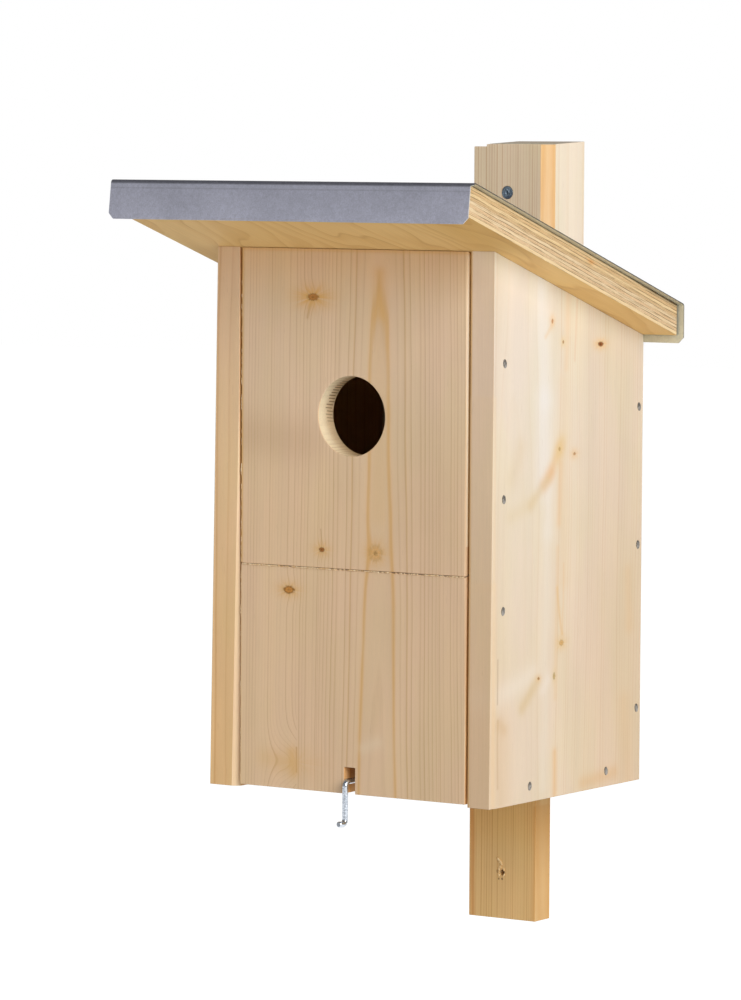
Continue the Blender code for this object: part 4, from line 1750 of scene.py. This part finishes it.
STRAW = (236, 206, 150)
RUSSET = (170, 106, 44)
FRONT_BOARD = Spruce(
    name="spruce_front",
    facing=Facing.FRONT,
    rings=Rings(heart_across=20, heart_depth=32, width=2.1, contrast=0.52, drift=0.9, anchor=34.65),
    bands=(
        Band(34.6, 1.45, 0.62, (240, 190, 118)),
        Band(39, 0.45, 0.35, (230, 188, 128)),
        Band(36.4, 0.3, 0.25, (206, 160, 102)),
        Band(45.3, 0.22, 0.3, (204, 158, 100)),
        Band(54.4, 0.2, 0.3, (204, 158, 100)),
    ),
    pale=(245, 215, 182),
    late=(210, 168, 120),
    stronger=(-20, 60, 1.05, 1.05),
    knots=(
        Knot(-28, 299.2, 3.7, 0.55, dark=0.8, glow=1, push=2.8, halo=3.4, heart=0.4, tone=(186, 118, 44)),
        Knot(-20.8, 147.7, 1.8, 0.75, dark=0.95, glow=0.7, push=1.4, halo=3.2, heart=0.8, tone=RUSSET),
        Knot(17.9, 147.6, 4.6, 1, dark=0.3, glow=0.8, push=0.6, halo=1.5, heart=0.5, tone=(228, 172, 98)),
        Knot(-44.6, 122.3, 3.5, 0.6, dark=0.9, glow=0.8, push=2, heart=0.3, rim=1, tone=(208, 142, 62)),
        Knot(-38.5, 18, 8, 0.52, dark=0, glow=0.25, push=15, creased=True),
    ),
    streaks=(
        Streak((-20.8, 149), (-21.6, 160), 0.4, (186, 126, 66), 0.4, 0.2),
        Streak((-38.5, 27), (-38.5, 12), 0.5, (200, 144, 76), 0.6, 0.05),
        Streak((-42, 24), (-40.5, 12), 3.6, (236, 188, 116), 0.45, 0.2),
        Streak((-62, 19), (-44, 16), 6, (236, 196, 132), 0.3, 0.4),
        Streak((-29, 297), (-31.5, 287), 1.1, (206, 160, 98), 0.45, 0.6),
        Streak((19.4, 314), (20, 290), 4.6, (240, 190, 118), 0.55, 0.35),
        Streak((19.6, 300), (19.6, 170), 6.5, (240, 200, 142), 0.25, 0.6),
        Streak((-86, 216), (-34, 213), 15, (206, 170, 133), 0.34, 0.7),
        # painted highlight: a pale line along the panel's right arris
        Streak((82, 327), (82, 155), 0.6, (255, 240, 214), 0.9, 0),
        # painted light: a pale glow right of where the hook stands when turned up
        Streak((10, 30), (20, 34), 4, (250, 228, 198), 0.5, 0.2),
        Streak((-80, 327), (-80, 138), 1.3, (226, 176, 92), 0.8, 0.02),
        Streak((-80, 134), (-80, 0), 1, (250, 214, 160), 0.5, 0.02),
        Streak((-80, 327.5), (82, 327.5), 1.4, (236, 190, 116), 0.5, 0.05),
    ),
    washes=(
        Wash((0, 260), (0, 160), (0.985, 0.945, 0.885)),
        Wash((-60, 0), (60, 0), (0.925, 0.93, 0.94)),
        # painted shade under the roof: the top of the front boards darker and yellower
        Wash((0, 290), (0, 330), (1.02, 0.95, 0.84)),
    ),
    # painted shade: faces looking right, seen in the gap by the right wall and in the notch, darkened and
    # warmed
    tints=(Tint((1, 0, 0), (1, 0.8, 0.52)),),
)
RIGHT_WALL = Spruce(
    name="spruce_right_wall",
    facing=Facing.RIGHT,
    origin=(100.3, 0, 0),
    rings=Rings(heart_across=25, heart_depth=60, width=2.6, contrast=0.28, wander=3),
    joint=68.8,
    second=Rings(heart_across=230, heart_depth=45, width=2),
    stronger=(60, 74, 0.8, 1.5),
    pale=(240, 226, 208),
    late=(222, 192, 154),
    # a darker golden line along the front face's inner arris
    layers=(DepthLine(16, 0.7, 0.75, (206, 162, 78)),),
    knots=(
        Knot(65, 286.2, 1, 1.3, glow=0.7, halo=3, heart=0.6, tone=(196, 128, 66), aura=(240, 200, 150)),
        Knot(77.6, 273.4, 0.9, 1, glow=0.7, halo=3.4, heart=0.7, tone=(186, 132, 70), aura=(238, 212, 160)),
        Knot(121.2, 270.8, 2.9, 0.45, 1, 0.9, halo=2.5, heart=1, tone=(150, 86, 28), aura=(240, 200, 138)),
        Knot(74.4, 209.4, 1.1, 1.1, 0.6, 0.8, halo=4, heart=0.5, tone=(206, 160, 90), aura=STRAW),
        Knot(91.6, 205.7, 1.3, 0.7, glow=0.8, halo=3.6, heart=0.6, tone=(196, 140, 80), aura=(240, 206, 160)),
        Knot(78.4, 92.6, 2.2, 0.75, 0.65, 0.8, halo=2.6, heart=0.3, tone=(222, 172, 92), aura=STRAW),
        Knot(52.4, 73.2, 1.2, 0.7, 0.8, 0.8, halo=2.6, heart=0.8, tone=(190, 140, 80), aura=(236, 204, 156)),
        Knot(70.2, 73.2, 1.1, 1.8, halo=2, heart=0.4, tone=(196, 164, 96), aura=(230, 206, 150)),
    ),
    streaks=(
        Streak((51, 314), (57, 240), 9, (244, 238, 232), 0.52),
        Streak((57, 240), (56, 190), 9, (244, 238, 233), 0.62),
        Streak((61, 190), (61, 160), 6, (244, 238, 230), 0.5),
        Streak((61, 160), (59, 8), 5.5, (242, 234, 220), 0.55),
        Streak((79, 250), (80, 130), 6, (238, 214, 178), 0.4, 0.5),
        Streak((8, 66), (46, 76), 7, (246, 238, 226), 0.6),
        Streak((56, 66), (63, 72), 4, (246, 238, 228), 0.6),
        Streak((77, 214), (72, 205), 5, (236, 208, 156), 0.5, 0.6),
        Streak((75, 210), (63, 194), 4.4, (236, 202, 156), 0.65, 0.6),
        Streak((65, 196), (57, 189), 4.6, (236, 192, 146), 0.6, 0.5),
        Streak((60, 191), (42, 177.5), 3.8, (226, 202, 160), 0.55, 0.6),
        Streak((44, 178.5), (20, 172), 5, (230, 210, 172), 0.35, 0.6),
        Streak((76, 200), (74.5, 165), 3, (238, 204, 160), 0.5, 0.5),
        Streak((30.4, 212), (22, 194), 7, (228, 204, 166), 0.3),
        Streak((66, 285), (57, 277), 1.6, (236, 206, 164), 0.45, 0.5),
        Streak((83, 306), (81.5, 258), 3.2, (240, 208, 168), 0.45, 0.5),
        Streak((93, 302), (91, 262), 1.1, (234, 198, 160), 0.4, 0.4),
        Streak((72.5, 126), (79, 98), 1.5, (236, 198, 136), 0.5, 0.5),
        Streak((80.5, 140), (80, 98), 0.9, (236, 200, 146), 0.35, 0.5),
        Streak((50, 71), (34, 57), 4.2, (224, 200, 152), 0.55, 0.6),
        Streak((73, 150), (72, 60), 2, (236, 206, 160), 0.35, 0.4),
        Streak((71.5, 27), (72, 2), 2.8, (240, 202, 150), 0.6, 0.3),
        Streak((1.5, 242), (2, 130), 1.5, (241, 221, 193), 0.8, 0),
        Streak((2.2, 132), (3, 0), 2.2, (241, 220, 190), 0.8, 0),
        Streak((104, 5), (142, 8), 4.5, (236, 200, 148), 0.45, 0.6),
        Streak((153, 50), (157, 4), 7, (238, 204, 154), 0.25, 0.6),
        Streak((156, 130), (158, 96), 5, (238, 208, 166), 0.35, 0.6),
        Streak((6.5, 88), (6.5, 62), 0.7, (186, 156, 118), 0.45, 0.2),
        Streak((7, 52), (7.5, 12), 1, (204, 174, 134), 0.45, 0.4),
        Streak((8, 50), (14, 46), 4, (222, 192, 150), 0.4, 0.6),
        Streak((12, 44), (14, 6), 11, (226, 198, 154), 0.3, 0.6),
    ),
    washes=(
        Wash((0, 300), (0, 50), (0.955, 0.89, 0.82)),
        Wash((40, 0), (150, 0), (0.93, 0.88, 0.815)),
        # painted light: the band just below the roofline brightened against the shade under the roof
        Wash((80.3, 283.6), (86, 301.8), (1.14, 1.22, 1.27)),
        Wash((26, 0), (4, 0), (0.965, 0.945, 0.91)),
    ),
    tints=(Tint((0, -1, 0), (1.01, 0.915, 0.835), (0.984, 0.897, 0.79)),),
    seed=2,
)
LEFT_WALL = Spruce(
    name="spruce_left_wall",
    facing=Facing.LEFT,
    origin=(-100.3, 172.5, 0),
    rings=Rings(heart_across=95, heart_depth=62, width=3.8, contrast=0.45, wander=2),
    pale=(242, 208, 166),
    late=(210, 156, 98),
    knots=(
        Knot(118, 151, 2.2, tall=1.1, dark=0.8, glow=0.5, tone=(160, 98, 44)),
        Knot(71, 66, 4, tall=0.8, dark=0.5, glow=0.6),
        Knot(140, 40, 1.4, tall=1.4, dark=0.5, glow=0.5),
    ),
    tints=(
        Tint((0, -1, 0), (1.03, 1.02, 1.05), (1.07, 0.98, 0.775)),
        # painted shade: the inner face, seen in the gap beside the front boards, darkened and warmed
        Tint((1, 0, 0), (0.86, 0.7, 0.5)),
        # painted light: the planed strip at the inner front corner brightened where the front boards shade it
        Tint((0.54, -0.84, 0), (1.07, 1.12, 1.22)),
    ),
    seed=3,
)
BACK_WALL = Spruce(
    name="spruce_back_wall",
    facing=Facing.BACK,
    origin=(0, 172.5, 0),
    rings=Rings(heart_across=-30, heart_depth=-38, width=3, contrast=0.5),
    bands=(Band(52, 0.4, 0.7),),
    pale=(230, 198, 158),
    late=(196, 152, 106),
    knots=(
        Knot(-58, 120, 3, tall=1, dark=0.8, glow=0.5, tone=(120, 66, 34)),
        Knot(44, 40, 2.4, tall=1.2, dark=0.5, glow=0.6),
    ),
    seed=4,
)
FLOOR_BOARD = Spruce(
    name="spruce_floor",
    facing=Facing.UNDER,
    origin=(0, 0, 1.25),
    rings=Rings(heart_across=70, heart_depth=44, width=3, contrast=0.5),
    pale=(234, 202, 160),
    late=(198, 154, 108),
    knots=(Knot(110, 30, 4, tall=0.8, dark=0.7, glow=0.6), Knot(48, -44, 2.2, dark=0.6, glow=0.5)),
    seed=5,
)
BATTEN = Spruce(
    name="spruce_batten",
    facing=Facing.FRONT,
    origin=(0, 173.7, 0),
    rings=Rings(heart_across=-40, heart_depth=8.7, width=1.9, taper=0, wander=0.5, contrast=0.72, drift=1.9),
    bands=(Band(64.9, 0.35, 0.7, (244, 196, 134)),),
    pale=(255, 231, 197),
    late=(214, 160, 98),
    knots=(
        Knot(0.1, -70.8, 0.55, dark=0.8, glow=0, push=0, tone=(120, 74, 30)),
        Knot(-2.4, -70.9, 0.5, dark=0.7, glow=0, push=0, tone=(120, 74, 30)),
        # painted shade beside the torn hole, drawn as a small dark knot
        Knot(-3.4, -66.3, 0.7, tall=1.4, dark=0.4, glow=0, push=0, tone=(150, 104, 52)),
    ),
    streaks=(
        Streak((-22.5, -24), (-21.5, -96), 1.6, (238, 176, 116), 0.6, 0.3),
        Streak((24, -24), (23.4, -96), 1.4, (240, 190, 128), 0.5, 0.3),
    ),
    washes=(
        # painted shade of the box: darker and more orange from z 300 down to z 30, paler again below z -28,
        # leaving a shaded band under the box
        Wash((0, 300), (0, 30), (0.83, 0.66, 0.37)),
        Wash((0, -28), (0, -60), (1, 1.06, 1.22)),
    ),
    tints=(Tint((1, 0, 0), (1, 0.885, 0.715), (1, 1.04, 1.15), 300),),
    seed=6,
)
BLOCK = Spruce(
    name="spruce_block",
    facing=Facing.FRONT,
    origin=(0, 191.5, 332),
    rings=Rings(heart_across=80, heart_depth=-20, width=5.5, taper=0, wander=0.8, contrast=0.35),
    pale=(250, 234, 211),
    late=(234, 202, 160),
    seed=7,
)


def main() -> None:
    """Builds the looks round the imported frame."""
    logging.basicConfig(level=logging.INFO, format="%(message)s")
    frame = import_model()
    cad_low, cad_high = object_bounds()
    box = BoxFrame.from_nodes()
    nodes = frame["nodes"]
    nails = Nails()
    nails.locate(nodes)
    Chamber(box, nodes).build(nails)
    FrontBoards(box, nodes).build()
    screw = BareMetal("zinc_screw_dressed", srgb(158, 176, 190), 0.3, srgb(96, 108, 118), 1.6).build()
    Roof(box, nodes).build(screw)
    Hanger(box, nodes).build(screw)
    Latch(box).build(BareMetal("zinc_wire_dressed", srgb(206, 212, 220), 0.2, srgb(160, 168, 178)).build())
    nails.build(BareMetal("nail_steel_dressed", srgb(174, 169, 162), 0.42, srgb(120, 114, 106)).build())
    Studio().build(box, cad_low.z)


if __name__ == "__main__":
    main()
